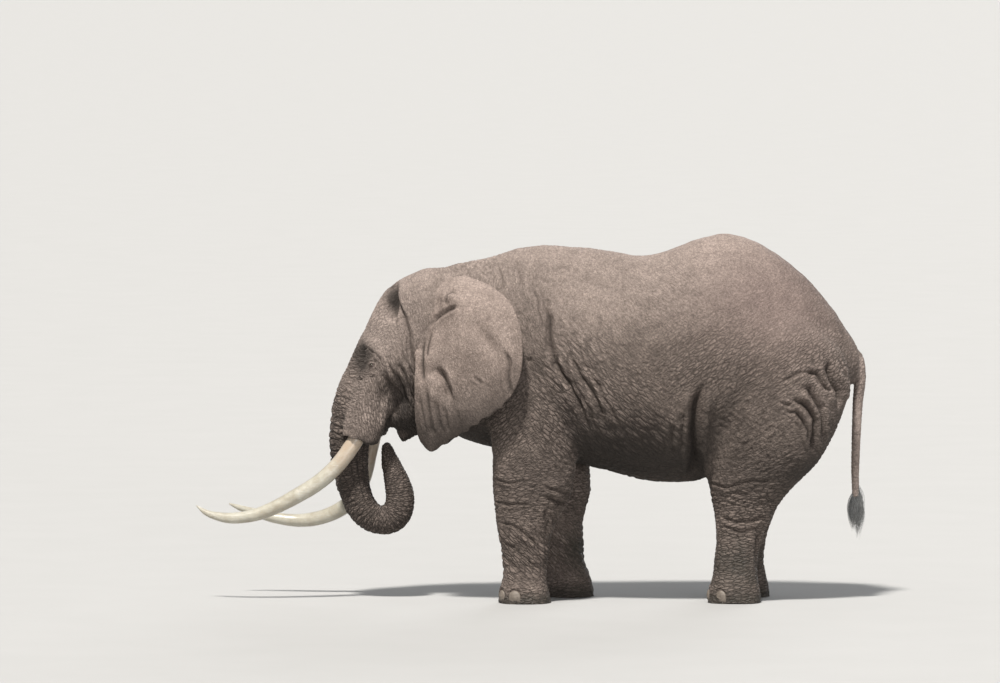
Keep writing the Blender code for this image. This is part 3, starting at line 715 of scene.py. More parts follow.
# Creased regions, seen from the side: centre, reach, lie of the creases in degrees,
# their spacing, length over spacing, depth
CREASES = [
    ((0.45, 2.85), (0.35, 0.35), 118, 0.036, 4.0, 0.003),
    ((1.30, 2.70), (0.45, 0.30), 146, 0.034, 4.0, 0.002),
    ((2.00, 2.50), (0.50, 0.35), 30, 0.034, 4.0, 0.002),
    ((2.55, 2.40), (0.25, 0.30), 60, 0.034, 3.0, 0.003),
    ((-0.55, 2.85), (0.30, 0.35), 96, 0.036, 4.0, 0.005),
    ((0.02, 2.72), (0.20, 0.32), 112, 0.038, 5.0, 0.006),
    ((0.42, 2.02), (0.34, 0.42), 126, 0.050, 5.0, 0.011),
    ((0.92, 2.05), (0.26, 0.30), 140, 0.046, 4.0, 0.007),
    ((1.24, 2.22), (0.26, 0.26), 40, 0.042, 4.5, 0.006),
    ((0.90, 1.56), (0.45, 0.26), 146, 0.056, 4.0, 0.009),
    ((1.62, 2.16), (0.22, 0.26), 44, 0.044, 5.0, 0.006),
    ((2.02, 2.00), (0.40, 0.30), 33, 0.056, 4.5, 0.008),
    ((1.98, 1.66), (0.36, 0.28), 144, 0.064, 2.6, 0.011),
    ((1.96, 1.58), (0.38, 0.34), 30, 0.060, 3.0, 0.008),
    ((1.64, 1.34), (0.14, 0.30), 108, 0.038, 4.0, 0.008),
    ((2.22, 1.30), (0.28, 0.20), 20, 0.050, 4.0, 0.006),
    ((2.62, 1.60), (0.16, 0.30), 4, 0.040, 2.6, 0.006),
    ((2.74, 2.10), (0.18, 0.20), 60, 0.050, 2.0, 0.006),
    ((1.86, 0.92), (0.34, 0.16), 164, 0.042, 3.6, 0.007),
    ((1.86, 0.48), (0.34, 0.26), 172, 0.048, 3.0, 0.004),
    ((-0.20, 1.50), (0.22, 0.40), 70, 0.040, 2.6, 0.005),
    ((0.26, 1.50), (0.22, 0.34), 142, 0.046, 5.0, 0.010),
    ((-0.10, 1.12), (0.32, 0.16), 170, 0.042, 4.0, 0.007),
    ((0.00, 0.86), (0.34, 0.14), 178, 0.040, 4.0, 0.007),
    ((-0.05, 0.46), (0.34, 0.26), 140, 0.062, 5.0, 0.007),
    ((0.95, 1.15), (0.70, 0.16), 0, 0.060, 3.0, 0.008),
    ((0.00, 0.08), (3.00, 0.10), 0, 0.036, 2.0, 0.004),
]
HEAD_CREASES = [
    ((-1.12, 2.12), (0.14, 0.36), 106, 0.036, 5.0, 0.007),
    ((-1.42, 1.72), (0.18, 0.24), 96, 0.032, 6.0, 0.005),
    ((-1.30, 2.02), (0.12, 0.18), 118, 0.028, 4.0, 0.006),
    ((-1.30, 2.52), (0.22, 0.24), 60, 0.036, 2.0, 0.003),
    ((-1.00, 2.76), (0.14, 0.18), 92, 0.026, 5.0, 0.003),
    ((-1.60, 2.02), (0.12, 0.28), 8, 0.040, 3.0, 0.007),
    ((-0.95, 1.62), (0.25, 0.20), 120, 0.040, 3.0, 0.007),
]
CREASE_WIDTH = 0.20  # of a cell
CREASE_GAIN = 1.7  # how much deeper than the table says
CREASE_SPACING = 0.82  # how much closer than the table says


def creased(points, x, regions, seed):
    """Depth of the net of creases at each point; x is its place along, less any stride."""
    depth = np.zeros(len(points))
    total = np.full(len(points), 0.12)
    warp = 0.035 * noise_vector(points * 3.1, 50) + 0.010 * noise_vector(points * 11.0, 60)
    for n, (centre, reach, lie, spacing, length, deep) in enumerate(regions):
        weight = spot(x, points[:, 2], centre, reach)
        near = np.flatnonzero(weight > 0.03)
        if len(near) == 0:
            continue
        a = math.radians(lie)
        px = x[near] + warp[near, 0]
        py, pz = (points[near, 1:] + warp[near, 1:]).T
        along = px * math.cos(a) + pz * math.sin(a)
        across = -px * math.sin(a) + pz * math.cos(a)
        spacing = CREASE_SPACING * spacing
        place = np.stack([along / (length * spacing), across / spacing, py / (length * spacing)], 1)
        edge = cell_edges(place, seed + 31 * n)
        depth[near] += weight[near] * deep * hump(edge, CREASE_WIDTH)
        total[near] += weight[near]
    return CREASE_GAIN * depth / total


def net_shares(x, z, regions):
    """How much of the material's fine nets, by their lie, shows at each point."""
    shares = {name: np.zeros(len(x)) for name, *_ in NETS}
    total = np.full(len(x), 0.25)
    for centre, reach, lie, *_ in regions:
        weight = spot(x, z, centre, (1.3 * reach[0], 1.3 * reach[1]))
        total += weight
        name = min(NETS, key=lambda net: abs((lie - net[1] + 90) % 180 - 90))[0]
        shares[name] += weight
    return {name: share / total for name, share in shares.items()}


# ---------------------------------------------------------------- ears
# Hollows and swellings of the ear: centre seen from the side, reach, tilt in degrees, outward push
EAR_FORMS = [
    ((-0.755, 2.06), (0.045, 0.070), 20, -0.070),
    ((-0.695, 1.92), (0.040, 0.090), 15, -0.065),
    ((-0.860, 2.09), (0.090, 0.055), 0, -0.020),
    ((-0.560, 2.36), (0.240, 0.200), 0, 0.034),
    ((-0.860, 1.88), (0.040, 0.050), 0, 0.022),
    ((-0.330, 2.40), (0.050, 0.170), 40, -0.026),
    ((-0.220, 2.45), (0.060, 0.200), 30, 0.022),
    ((-0.100, 2.25), (0.050, 0.240), 0, 0.020),
    ((-0.720, 2.78), (0.130, 0.050), -15, 0.034),
    ((-0.400, 2.05), (0.120, 0.090), -40, -0.014),
    ((-0.520, 1.74), (0.080, 0.140), -20, 0.014),
]
# Folds of the ear: line, width, depth
EAR_FOLDS = [
    ([(-0.60, 2.70), (-0.70, 2.655), (-0.80, 2.59), (-0.90, 2.50)], 0.014, 0.026),
    ([(-0.90, 2.49), (-0.93, 2.35), (-0.945, 2.15), (-0.93, 1.95)], 0.018, 0.022),
    ([(-0.85, 2.48), (-0.89, 2.34), (-0.90, 2.20)], 0.014, 0.016),
    ([(-0.90, 1.98), (-0.875, 1.80), (-0.84, 1.62), (-0.83, 1.50)], 0.018, 0.020),
    ([(-0.81, 1.86), (-0.78, 1.70), (-0.755, 1.56)], 0.016, 0.018),
    ([(-0.73, 1.80), (-0.70, 1.66), (-0.68, 1.56)], 0.013, 0.012),
    ([(-0.95, 1.86), (-0.93, 1.70), (-0.90, 1.55)], 0.013, 0.013),
    ([(-0.45, 2.07), (-0.40, 2.035), (-0.35, 2.00)], 0.011, 0.012),
    ([(-0.60, 1.78), (-0.585, 1.66)], 0.012, 0.008),
    ([(-0.157, 2.32), (-0.112, 2.19), (-0.125, 2.05), (-0.08, 1.88)], 0.016, 0.022),
    ([(-0.79, 2.15), (-0.725, 2.06), (-0.68, 1.95), (-0.65, 1.84)], 0.018, 0.024),
    ([(-0.60, 2.80), (-0.66, 2.83), (-0.72, 2.80), (-0.73, 2.73), (-0.68, 2.69)], 0.012, 0.012),
]
EAR_ROWS, EAR_COLUMNS = 130, 84
EAR_SINK = 0.125  # how far the upper front of the ear lies inside the head
SCALLOPS, SCALLOP_DEPTH = 15, 0.026
EAR_TIP = 0.032  # how far the lower end is rounded out


def ear_sheet(name, side):
    """The ear's middle surface, with its hollows, folds and scalloped edge, as a one-sided mesh."""
    front = resample(EAR_FRONT, EAR_ROWS, 3)
    rear = resample(EAR_REAR, EAR_ROWS, 3)
    u = np.linspace(0, 1, EAR_COLUMNS)[None, :, None]
    grid = front[:, None, :] * (1 - u) + rear[:, None, :] * u
    down = np.linspace(0, 1, EAR_ROWS)[:, None]
    edge = unit((u[..., 0] - 0.82) / 0.18) ** 2 * unit((down - 0.55) * 5)
    beat = np.abs(np.sin(math.pi * SCALLOPS * down**1.3))
    x = grid[..., 0] - SCALLOP_DEPTH * edge * beat
    z = grid[..., 1] + 0.6 * SCALLOP_DEPTH * edge * beat
    z = z - EAR_TIP * np.sin(math.pi * u[..., 0]) * unit((down - 0.9) / 0.1) ** 2
    out = grid[..., 2] + EAR_BULGE * np.sin(math.pi * u[..., 0])
    sunk = unit(1 - u[..., 0] / 0.42) ** 1.5 * unit((z - 2.22) / 0.28)
    out = out - EAR_SINK * sunk + 0.022 * np.sin(math.pi * down) * u[..., 0]
    x, z, out = x.ravel(), z.ravel(), out.ravel()
    for centre, reach, tilt, push in EAR_FORMS:
        a = math.radians(tilt)
        dx, dz = x - centre[0], z - centre[1]
        p = (dx * math.cos(a) + dz * math.sin(a)) / reach[0]
        q = (-dx * math.sin(a) + dz * math.cos(a)) / reach[1]
        out = out + push * np.exp(-(p**2) - q**2)
    for line, width, depth in EAR_FOLDS:
        groove, shoulder = fold(x, z, line, width)
        out = out - depth * groove + 0.3 * depth * shoulder
    ripple = noise(np.stack([x * 7, out * 0, z * 4], 1), 91 if side < 0 else 95)
    rim = np.repeat(unit((u[0, :, 0] - 0.6) / 0.4)[None, :], EAR_ROWS, 0).ravel()
    out = out + 0.016 * ripple * rim
    mesh = bmesh.new()
    verts = [mesh.verts.new((a, side * b, c)) for a, b, c in zip(x, out, z)]
    for r in range(EAR_ROWS - 1):
        for k in range(EAR_COLUMNS - 1):
            i = r * EAR_COLUMNS + k
            mesh.faces.new((verts[i], verts[i + 1], verts[i + EAR_COLUMNS + 1], verts[i + EAR_COLUMNS]))
    return turn_head(to_object(name, mesh))


def ear_solid(sheet):
    solid = add_object("ear_solid", sheet.data.copy())
    shell = solid.modifiers.new("shell", "SOLIDIFY")
    shell.thickness = EAR_THICKNESS
    shell.offset = 0.0
    apply_modifiers(solid)
    with opened(solid) as mesh:
        face_outward(mesh)
    return solid


# ---------------------------------------------------------------- trunk
TRUNK_SAMPLES = 160


class TrunkLine:
    """The trunk's middle line, which gives each point its place along and round the trunk."""

    def __init__(self):
        rows = resample(TRUNK, TRUNK_SAMPLES, 2)
        turn = head_matrix()
        self.centre = np.array([turn @ Vector((x, 0.0, z)) for x, z, _, _ in rows])
        self.half = rows[:, 2:]
        steps = np.linalg.norm(np.diff(self.centre, axis=0), axis=1)
        self.passed = np.concatenate([[0], np.cumsum(steps)])
        self.along = np.gradient(self.centre, axis=0)
        self.along /= np.linalg.norm(self.along, axis=1)[:, None]
        self.wide = np.array(turn.to_3x3() @ Vector((0, 1, 0)))
        self.front = np.cross(self.along, self.wide)

    def locate(self, points):
        """Place along, place across towards the bend's outside, place sideways, radius ratio."""
        nearest = np.zeros(len(points), int)
        best = np.full(len(points), 99.0)
        for n, (centre, half) in enumerate(zip(self.centre, self.half)):
            away = np.linalg.norm(points - centre, axis=1) / half.mean()
            nearer = away < best
            best[nearer] = away[nearer]
            nearest[nearer] = n
        d = points - self.centre[nearest]
        along = self.passed[nearest] + np.einsum("ij,ij->i", d, self.along[nearest])
        front = np.einsum("ij,ij->i", d, self.front[nearest]) / self.half[nearest, 0]
        wide = (d @ self.wide) / self.half[nearest, 1]
        return along, front, wide, np.hypot(front, wide)


# ---------------------------------------------------------------- skin
EYE_RADIUS = 0.028
LID_THICKNESS = 0.0045
EYE_TILT = math.radians(14)  # the inner corner lies lower than the outer one
EYE_HALF_WIDTH = 1.12 * EYE_RADIUS  # of the opening between the lids
UPPER_GAPE, LOWER_GAPE = 0.0170, 0.0135  # the opening's height above and below the middle
LID_REACH = 0.16  # how far from the eye's middle the skin is shaped with the lids
# Folds that ring the eye: distance from its middle in eye radii, depth
LID_FOLDS = ((1.42, 0.0050), (1.78, 0.0065), (2.22, 0.0060), (2.75, 0.0050), (3.40, 0.0040))
HEAD_DENSE = -1.02  # the skin in front of this place along is made twice as fine
EYE_DENSE = (0.125, 0.062)  # and twice as fine again within each of these distances of an eye
SOLE_EDGE = 0.004  # skin lower than this stays at its height, so that the soles stay flat
TAIL_RING, TAIL_RING_DEPTH = 0.030, 0.0055  # spacing and depth of the tail's rings


def raw_body():
    body = join(
        "flesh",
        [
            torso(),
            leg("fore_left", FRONT_LEG, -1, 0.0),
            leg("fore_right", FRONT_LEG, 1, RIGHT_FORE_STRIDE),
            leg("hind_left", HIND_LEG, -1, 0.0),
            leg("hind_right", HIND_LEG, 1, RIGHT_HIND_STRIDE),
            head(),
            turn_head(sweep("trunk", [(x, z, 0.0, d, h) for x, z, d, h in resample(TRUNK, 60, 2)])),
            turn_head(sweep("sheath", resample(SHEATH, 16, 3))),
            turn_head(sweep("sheath", resample(SHEATH, 16, 3) * np.array([1, 1, -1, 1, 1]))),
            turn_head(sweep("jaw", [(x, z, 0.0, d, h) for x, z, d, h in resample(JAW, 16, 2)])),
        ],
    )
    fuse(body, BODY_VOXEL)
    soften(body, 14, SOFT_ZONES)
    soften(body, 3)
    set_points(body, press(get_points(body), HEAD_BRUSHES))
    finer = body.modifiers.new("finer", "SUBSURF")
    finer.levels = 1
    return apply_modifiers(body)


def split_large_faces(mesh):
    bmesh.ops.triangulate(mesh, faces=[f for f in mesh.faces if len(f.verts) > 4])


def level_soles(obj):
    """Cuts the feet off at the ground and closes them."""
    with opened(obj) as mesh:
        everything = mesh.verts[:] + mesh.edges[:] + mesh.faces[:]
        cut = bmesh.ops.bisect_plane(
            mesh, geom=everything, dist=1e-5, plane_co=(0, 0, 0), plane_no=(0, 0, -1), clear_outer=True
        )
        rim = [e for e in cut["geom_cut"] if isinstance(e, bmesh.types.BMEdge)]
        bmesh.ops.holes_fill(mesh, edges=rim, sides=0)
        split_large_faces(mesh)


def denser(obj, chosen):
    """Splits the edges of the faces whose middles are chosen, halving the grid there."""
    with opened(obj) as mesh:
        middles = np.array([f.calc_center_median() for f in mesh.faces])
        faces = [f for f, take in zip(mesh.faces, chosen(middles)) if take]
        edges = list({e for f in faces for e in f.edges})
        bmesh.ops.subdivide_edges(mesh, edges=edges, cuts=1, use_grid_fill=True)
        split_large_faces(mesh)


def box_middle(node):
    low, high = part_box(node)
    return (Vector(low) + Vector(high)) / 2 - SHIFT


def eye_frame(side):
    """The eye's middle, and its directions forward along the face, up and outward."""
    centre = box_middle("eye_left" if side < 0 else "eye_right")
    turn = head_matrix().to_3x3()
    out = (turn @ Vector((-0.20, side, 0.04))).normalized()
    forward = turn @ Vector((-1, 0, 0))
    forward = (forward - forward.dot(out) * out).normalized()
    up = forward.cross(out) if side < 0 else out.cross(forward)
    if up.z < 0:
        up = -up
    tilted = math.cos(EYE_TILT) * forward - math.sin(EYE_TILT) * up
    up = math.sin(EYE_TILT) * forward + math.cos(EYE_TILT) * up
    return centre, tilted, up, out


def shape_lids(points, side, painted_recess_shade):
    """Drapes the skin over the eyeball as two lids, opens them, and rings them with creases."""
    centre, forward, up, out = (np.array(v) for v in eye_frame(side))
    d = points - centre
    near = np.flatnonzero(np.linalg.norm(d, axis=1) < LID_REACH)
    u, v, w = d[near] @ forward, d[near] @ up, d[near] @ out
    keep = w > -0.06
    near, u, v, w = near[keep], u[keep], v[keep], w[keep]
    reach = np.hypot(u, v)
    oval = np.hypot(0.82 * u, v) / EYE_RADIUS
    lid = EYE_RADIUS + LID_THICKNESS
    dome = np.sqrt(np.maximum(lid**2 - reach**2, 0))
    new = 0.5 * (w + dome + np.sqrt((w - dome) ** 2 + 0.006**2)) - 0.0008
    wavy = 0.14 * noise(np.stack([u, v, w * 0], 1) * 36, 17 + int(side))
    rings = np.zeros(len(near))
    for ring, deep in LID_FOLDS:
        level = np.clip(0.30 - 0.8 * v / EYE_RADIUS - 0.3 * u / EYE_RADIUS, 0.10 + 0.25 * (ring < 2), 1.0)
        groove = level * hump(oval + wavy * ring - ring, 0.12)
        new -= deep * groove
        rings = np.maximum(rings, 0.85 * groove)
    new += 0.010 * np.exp(-(((v - 1.75 * EYE_RADIUS) / 0.016) ** 2) - (u / 0.06) ** 2)
    half = np.maximum(1 - (u / EYE_HALF_WIDTH) ** 2, 0)
    gap = np.where(v > 0, UPPER_GAPE, LOWER_GAPE) * half + 1e-5
    open_share = unit((1.12 - np.abs(v) / gap) / 0.24) * (reach < lid)
    new = new * (1 - open_share) - 0.012 * open_share
    rings = np.maximum(rings, 0.9 * hump(np.abs(v) / gap - 1.1, 0.35) * (half > 0))
    points[near] += (new - w)[:, None] * out
    # painted shade in the ring creases, and a dark rim along the lid margins
    painted_recess_shade[near] = np.maximum(painted_recess_shade[near], rings)
    return points


def forms(x, z, table):
    """Outward push of the broad forms at each point, seen from the side."""
    push = np.zeros(len(x))
    for centre, reach, out in table:
        push += out * spot(x, z, centre, reach)
    return push


def nail_bearings():
    """Each nail's name, middle and the direction it faces."""
    feet = (
        ("fore_left", -1, FRONT_NAILS),
        ("fore_right", 1, FRONT_NAILS),
        ("hind_left", -1, HIND_NAILS),
        ("hind_right", 1, HIND_NAILS),
    )
    for foot, side, bearings in feet:
        for number, bearing in enumerate(bearings, 1):
            name = f"nail_{foot}_{number}"
            yield name, box_middle(name), math.radians(180 + side * bearing)


def shape_cuticles(points):
    """Raises a soft rim of skin round each toenail."""
    for _, middle, turn in nail_bearings():
        d = points - np.array(middle)
        near = np.flatnonzero(np.linalg.norm(d, axis=1) < 0.13)
        out = np.array((math.cos(turn), math.sin(turn), 0))
        across = np.array((-math.sin(turn), math.cos(turn), 0))
        ratio = np.hypot(d[near] @ across / 0.062, d[near][:, 2] / 0.066)
        above = unit(0.4 + d[near][:, 2] / 0.05)
        rise = 0.009 * hump(ratio - 1.25, 0.22) * above
        rise -= 0.008 * hump(ratio - 0.9, 0.16)
        points[near] += rise[:, None] * out
    return points


def tusk_line(keys, side):
    turn = head_matrix()
    return [(turn @ Vector((x, side * y, z)), r) for x, z, y, r in resample(keys, TUSK_ROWS, 3)]


def hollow_sheaths(points, normals):
    """Hollows the underside of each sheath, round the tusk that comes out of it."""
    for keys, side in ((LEFT_TUSK, -1), (RIGHT_TUSK, 1)):
        line = [np.array(p) for p, _ in tusk_line(keys, side)[:14]]
        away = np.min([np.linalg.norm(points - p, axis=1) for p in line], axis=0)
        share = unit((0.118 - away) / 0.03) * unit(-normals[:, 2] * 2 - 0.4)
        share *= (points[:, 2] < 1.56) & (points[:, 2] > 1.30)
        points[:, 2] += 0.06 * share
    return points


# The trunk's rings and folds at stations along it, the last at its tip
RING_STATIONS = (0.0, 0.9, 1.6, 2.2)
RING_SPACINGS = (0.062, 0.058, 0.044, 0.037, 0.030)
RING_STEPS = 800
FOLD_STATIONS = (0.0, 0.7, 1.5, 2.1)
FOLD_DEPTHS = (0.010, 0.016, 0.014, 0.010, 0.005)


def wrinkle_trunk(points, line):
    """Depth of the trunk's ridges and folds, each point's share in the trunk, its place along
    the trunk counted in rings, and its angle round the trunk."""
    near = np.flatnonzero((points[:, 0] < -1.0) & (points[:, 2] < 2.25) & (np.abs(points[:, 1]) < 0.55))
    along, inner, wide, ratio = line.locate(points[near])
    length = line.passed[-1]
    mask = unit((1.30 - ratio) / 0.15) * unit((along - 0.38) / 0.25)
    warp = 0.35 * noise(points[near] * 6, 70) + 0.16 * noise(points[near] * 19, 71)
    steps = np.linspace(0, length, RING_STEPS)
    per_metre = np.interp(steps, [*RING_STATIONS, length], [1 / spacing for spacing in RING_SPACINGS])
    turns = np.interp(along, steps, np.cumsum(per_metre) * length / RING_STEPS)
    rings = hump(cell_edges(np.stack([turns + warp, 1.15 * wide + 3, 1.15 * inner], 1), 301), 0.22)
    fine = unit((saw(turns + warp) - 0.55) / 0.45) ** 2
    deep = np.interp(along, [*FOLD_STATIONS, length], FOLD_DEPTHS)
    # past the bend the rings are finer, and the trunk's back carries lengthwise cords instead
    rising = unit((along - 1.55) / 0.25)
    rings, fine = rings * (1 - 0.7 * rising), fine * (1 + 0.9 * rising)
    back = unit(inner * 1.6 + 0.2) * unit((along - 0.7) / 0.3)
    back *= unit((1.75 - along) / 0.25)
    angle = np.arctan2(wide, inner)
    cords = hump(((angle * 2.6 + 0.3 * warp) % 1.0) - 0.5, 0.13)
    depth, share, lengthwise, round_it = np.zeros((4, len(points)))
    depth[near] = mask * deep * ((1 - 0.6 * back) * (0.65 * rings + 0.45 * fine) + 0.8 * back * cords)
    share[near] = mask
    lengthwise[near] = turns
    round_it[near] = angle
    return depth, share, lengthwise, round_it


def blend_ear_roots(obj):
    """Softens the skin where the ear's upper front grows out of the head."""
    turn = head_matrix()
    zones = []
    pairs = list(zip(resample(EAR_FRONT, 26, 3), resample(EAR_REAR, 26, 3)))
    for side in (-1, 1):
        for front, rear in pairs:
            x, z, y = 0.82 * front + 0.18 * rear
            if z > 2.30:
                zones.append((tuple(turn @ Vector((x, side * y, z))), 0.15 if z > 2.5 else 0.09))
    soften(obj, 34, zones)


def slim_ears(points, sheets):
    """Draws the ears' points towards their middle surfaces; gives each point's share in an ear."""
    ear_share = np.zeros(len(points))
    graph = bpy.context.evaluated_depsgraph_get()
    for sheet, side in zip(sheets, (-1, 1)):
        tree = BVHTree.FromObject(sheet, graph)
        near = np.flatnonzero(
            (points[:, 0] > -1.15) & (points[:, 0] < 0.2) & (points[:, 1] * side > 0.18)
            & (points[:, 2] > 1.36) & (points[:, 2] < 3.02)
        )
        for index in near:
            place, _, _, away = tree.find_nearest(points[index], 0.05)
            if place is None:
                continue
            share = min(1.0, max(0.0, (0.030 - away) / 0.010))
            root = min(1.0, max(0.0, (place.x + 0.98) / 0.10, (2.05 - place.z) / 0.20))
            ear_share[index] = share
            points[index] += share * (1 - EAR_THINNING) * root * (np.array(place) - points[index])
    return ear_share


class Surface:
    """The skin's points, their directions, and each point's share in the parts of the body."""

    def __init__(self, points, normals, ear, trunk):
        self.points, self.normals, self.ear, self.trunk = points, normals, ear, trunk
        self.z = points[:, 2]
        self.right = points[:, 1] > 0
        stride = np.where(points[:, 0] < 1.0, RIGHT_FORE_STRIDE, RIGHT_HIND_STRIDE) * self.right
        self.x = points[:, 0] - stride_at(self.z, 1.0) * stride  # as if no leg stood behind its fellow
        pivot = np.array(HEAD_PIVOT)
        self.unturned = (points - pivot) @ np.array(Matrix.Rotation(HEAD_TURN, 3, "Z")) + pivot
        self.head_x = self.unturned[:, 0]
        self.outer = unit(normals[:, 1] * np.sign(points[:, 1]) * 2.5)
        self.head = unit((-0.86 - self.head_x) / 0.12) * (self.z > 1.3)
        self.tail = unit((points[:, 0] - 2.86) / 0.04) * (np.abs(points[:, 1]) < 0.09)
        self.tail *= self.z < 2.22
        self.bare = (1 - trunk) * (1 - ear)  # neither trunk nor ear


def relief(s, trunk_depth):
    """How far each point moves outward for folds, creases and forms, and how much painted shade darkens
    its creases and hollows.
    """
    depth = s.bare * (1 - s.head) * creased(s.points, s.x, CREASES, 400)
    depth += s.bare * s.head * creased(s.unturned, s.head_x, HEAD_CREASES, 700)
    shoulders = np.zeros(len(s.points))
    wobble = 0.012 * noise(s.points * 9, 33) + 0.02 * noise(s.points * 3, 34) * s.right
    painted_recess_shade = unit(depth / 0.012) * 0.75
    strokes = (
        (BODY_FOLDS, s.x, s.bare * (1 - s.head), 1.5),
        (HEAD_FOLDS, s.head_x, s.bare * s.head, 1.0),
        (EAR_FOLDS, s.head_x, s.ear, 0.75),
    )
    for folds, places, mask, share in strokes:
        for path, width, deep in folds:
            groove, shoulder = fold(places + wobble, s.z + wobble, path, width)
            groove, shoulder = groove * mask * s.outer, shoulder * mask * s.outer
            depth += share * deep * groove
            shoulders += share * 0.5 * deep * shoulder
            painted_recess_shade = np.maximum(painted_recess_shade, groove**1.4 * min(1.0, 0.30 + deep / 0.03))
    depth += trunk_depth
    painted_recess_shade = np.maximum(painted_recess_shade, unit(trunk_depth / 0.014) ** 1.5)
    ringed = saw(s.z / TAIL_RING + 0.4 * noise(s.points * 25, 44))
    depth = depth * (1 - s.tail) + s.tail * TAIL_RING_DEPTH * ringed**3
    painted_recess_shade = np.maximum(painted_recess_shade * (1 - s.tail), 0.45 * s.tail * ringed**4)
    lumps = 0.006 * noise(s.points * 5.5, 21) + 0.003 * noise(s.points * 13, 22)
    broad = s.outer * (s.head * forms(s.head_x, s.z, HEAD_FORMS) * (1 - s.trunk)
                       + (1 - s.head) * (1 - s.ear) * forms(s.x, s.z, BODY_FORMS))
    # painted shade in the hollows of the broad forms
    painted_recess_shade = np.maximum(painted_recess_shade, unit(-(broad + 0.022) / 0.045))
    return broad + shoulders - depth + lumps * (1 - s.ear) * (1 - s.tail), painted_recess_shade


def keep_shades(obj, s, from_eye):
    """Stores what the skin's material reads: nets of creases, painted shade in hollows and underneath, wet
    places, dust and painted light, warmth.
    """
    on_body, in_head = net_shares(s.x, s.z, CREASES), net_shares(s.head_x, s.z, HEAD_CREASES)
    clear = 1 - 0.8 * hump(from_eye, 0.07)
    calm = 1.1 - 0.70 * unit((s.z - 2.0) / 0.8) + 0.25 * noise(s.points * 2.3, 61)
    for name in on_body:
        on_ear = 0.24 if name == "net_steep" else 0.06
        part = s.bare * ((1 - s.head) * on_body[name] + s.head * in_head[name] * clear)
        keep_values(obj, name, (part + s.ear * on_ear) * calm)

    # painted shade in the eye sockets and temple pits, less on the lids
    socket = np.maximum(1.7 * spot(s.head_x, s.z, *EYE_SOCKET), 1.6 * spot(s.head_x, s.z, *TEMPLE_PIT))
    lids = unit(1.1 - 0.9 * hump(from_eye, 0.048))
    keep_values(obj, "socket", unit(socket) * s.head * lids)

    # painted shade on undersides, the lower ears, the cheek hollows and the lower trunk
    between = unit((s.z - 0.85) / 0.35) * unit((2.20 - s.z) / 0.50)
    painted_shade_below = unit(-s.normals[:, 2] * 1.6 - 0.05) * between * (1 - s.ear)
    low_ear = 0.80 * s.ear * unit((2.10 - s.z + 0.25 * (s.head_x + 0.6)) / 0.45)
    cheek = spot(s.head_x, s.z, *CHEEK_HOLLOW) * s.head * s.bare
    low_trunk = 0.34 * s.trunk * unit((1.65 - s.z) / 0.3)
    keep_values(obj, "painted_shade_below", np.max([painted_shade_below, low_ear, cheek, low_trunk], axis=0))

    keep_values(obj, "head_share", s.head * s.bare)
    below_root = unit(-2.02 * (s.unturned[:, 2] - 3.06) + 0.9 * (s.x + 1.0))
    keep_values(obj, "ear_share", s.ear * below_root)
    keep_values(obj, "trunk_share", s.trunk)

    # dust and painted light: paler higher up, on the head and tail, and where faces turn up towards the
    # key light, painted shade where they turn away; the table's spots add painted light and shade
    high = unit((s.z - 1.0) / 2.2)
    facing = np.clip(s.normals[:, 2] - 0.35 * s.normals[:, 0], -0.5, 1)
    lit = 0.66 * unit(facing) ** 1.5 + 0.30 * np.clip(facing, -0.5, 0)
    extra = forms(s.points[:, 0], s.z, DUST_LIGHT_AND_SHADE) * (1 - s.ear) + 0.30 * s.head * s.bare + 1.00 * s.tail
    keep_values(obj, "dust_and_painted_light", unit(0.20 * high + lit + extra))
    keep_values(obj, "rump", spot(s.points[:, 0], s.z, *RUMP))

    mud = np.maximum(spot(s.points[:, 0], s.z, *FAR_FORE_MUD) * s.right, spot(s.x, s.z, *HIND_MUD))
    mud = np.maximum(mud, unit((0.16 - s.z) / 0.12))
    wet = unit(1.25 * mud + 0.35 * noise(s.points * 9, 81) - 0.25)
    keep_values(obj, "wet", wet * unit((0.95 - s.z) / 0.30))


def skin():
    """The whole hide: body, ears and tail in one mesh, folded and creased, opened at the eyes."""
    sheets = [ear_sheet("ear_left_sheet", -1), ear_sheet("ear_right_sheet", 1)]
    tail_rows = [(x, 0.0, z, radius) for x, z, radius in resample(TAIL, 30, 2)]
    obj = join("skin", [raw_body(), *(ear_solid(s) for s in sheets), tube("tail", tail_rows, 24)])
    fuse(obj, SKIN_VOXEL)
    soften(obj, 2)
    blend_ear_roots(obj)
    level_soles(obj)
    denser(obj, lambda m: (m[:, 0] < HEAD_DENSE) & (m[:, 2] > 0.5))
    soften(obj, 1)
    eyes = [np.array(eye_frame(side)[0]) for side in (-1, 1)]

    def eye_distance(places):
        return np.min([np.linalg.norm(places - eye, axis=1) for eye in eyes], axis=0)

    for reach in EYE_DENSE:
        denser(obj, lambda m: eye_distance(m) < reach)
    points, normals = get_points(obj), get_normals(obj)
    ear_share = slim_ears(points, sheets)
    for sheet in sheets:
        bpy.data.objects.remove(sheet)
    trunk_depth, trunk_share, lengthwise, round_it = wrinkle_trunk(points, TrunkLine())
    surface = Surface(points, normals, ear_share, trunk_share)
    push, painted_recess_shade = relief(surface, trunk_depth)

    moved = points + normals * push[:, None]
    sole = points[:, 2] < SOLE_EDGE
    moved[sole, 2] = points[sole, 2]
    moved[:, 2] = np.maximum(moved[:, 2], 0.0)
    moved = hollow_sheaths(moved, normals)
    for side in (-1, 1):
        moved = shape_lids(moved, side, painted_recess_shade)
    set_points(obj, shape_cuticles(moved))

    keep_shades(obj, surface, eye_distance(points))
    keep_values(obj, "trunk_along", lengthwise)
    keep_values(obj, "trunk_round", round_it)
    # groove: painted shade in the creases, folds and hollows
    keep_values(obj, "groove", painted_recess_shade)
    return obj


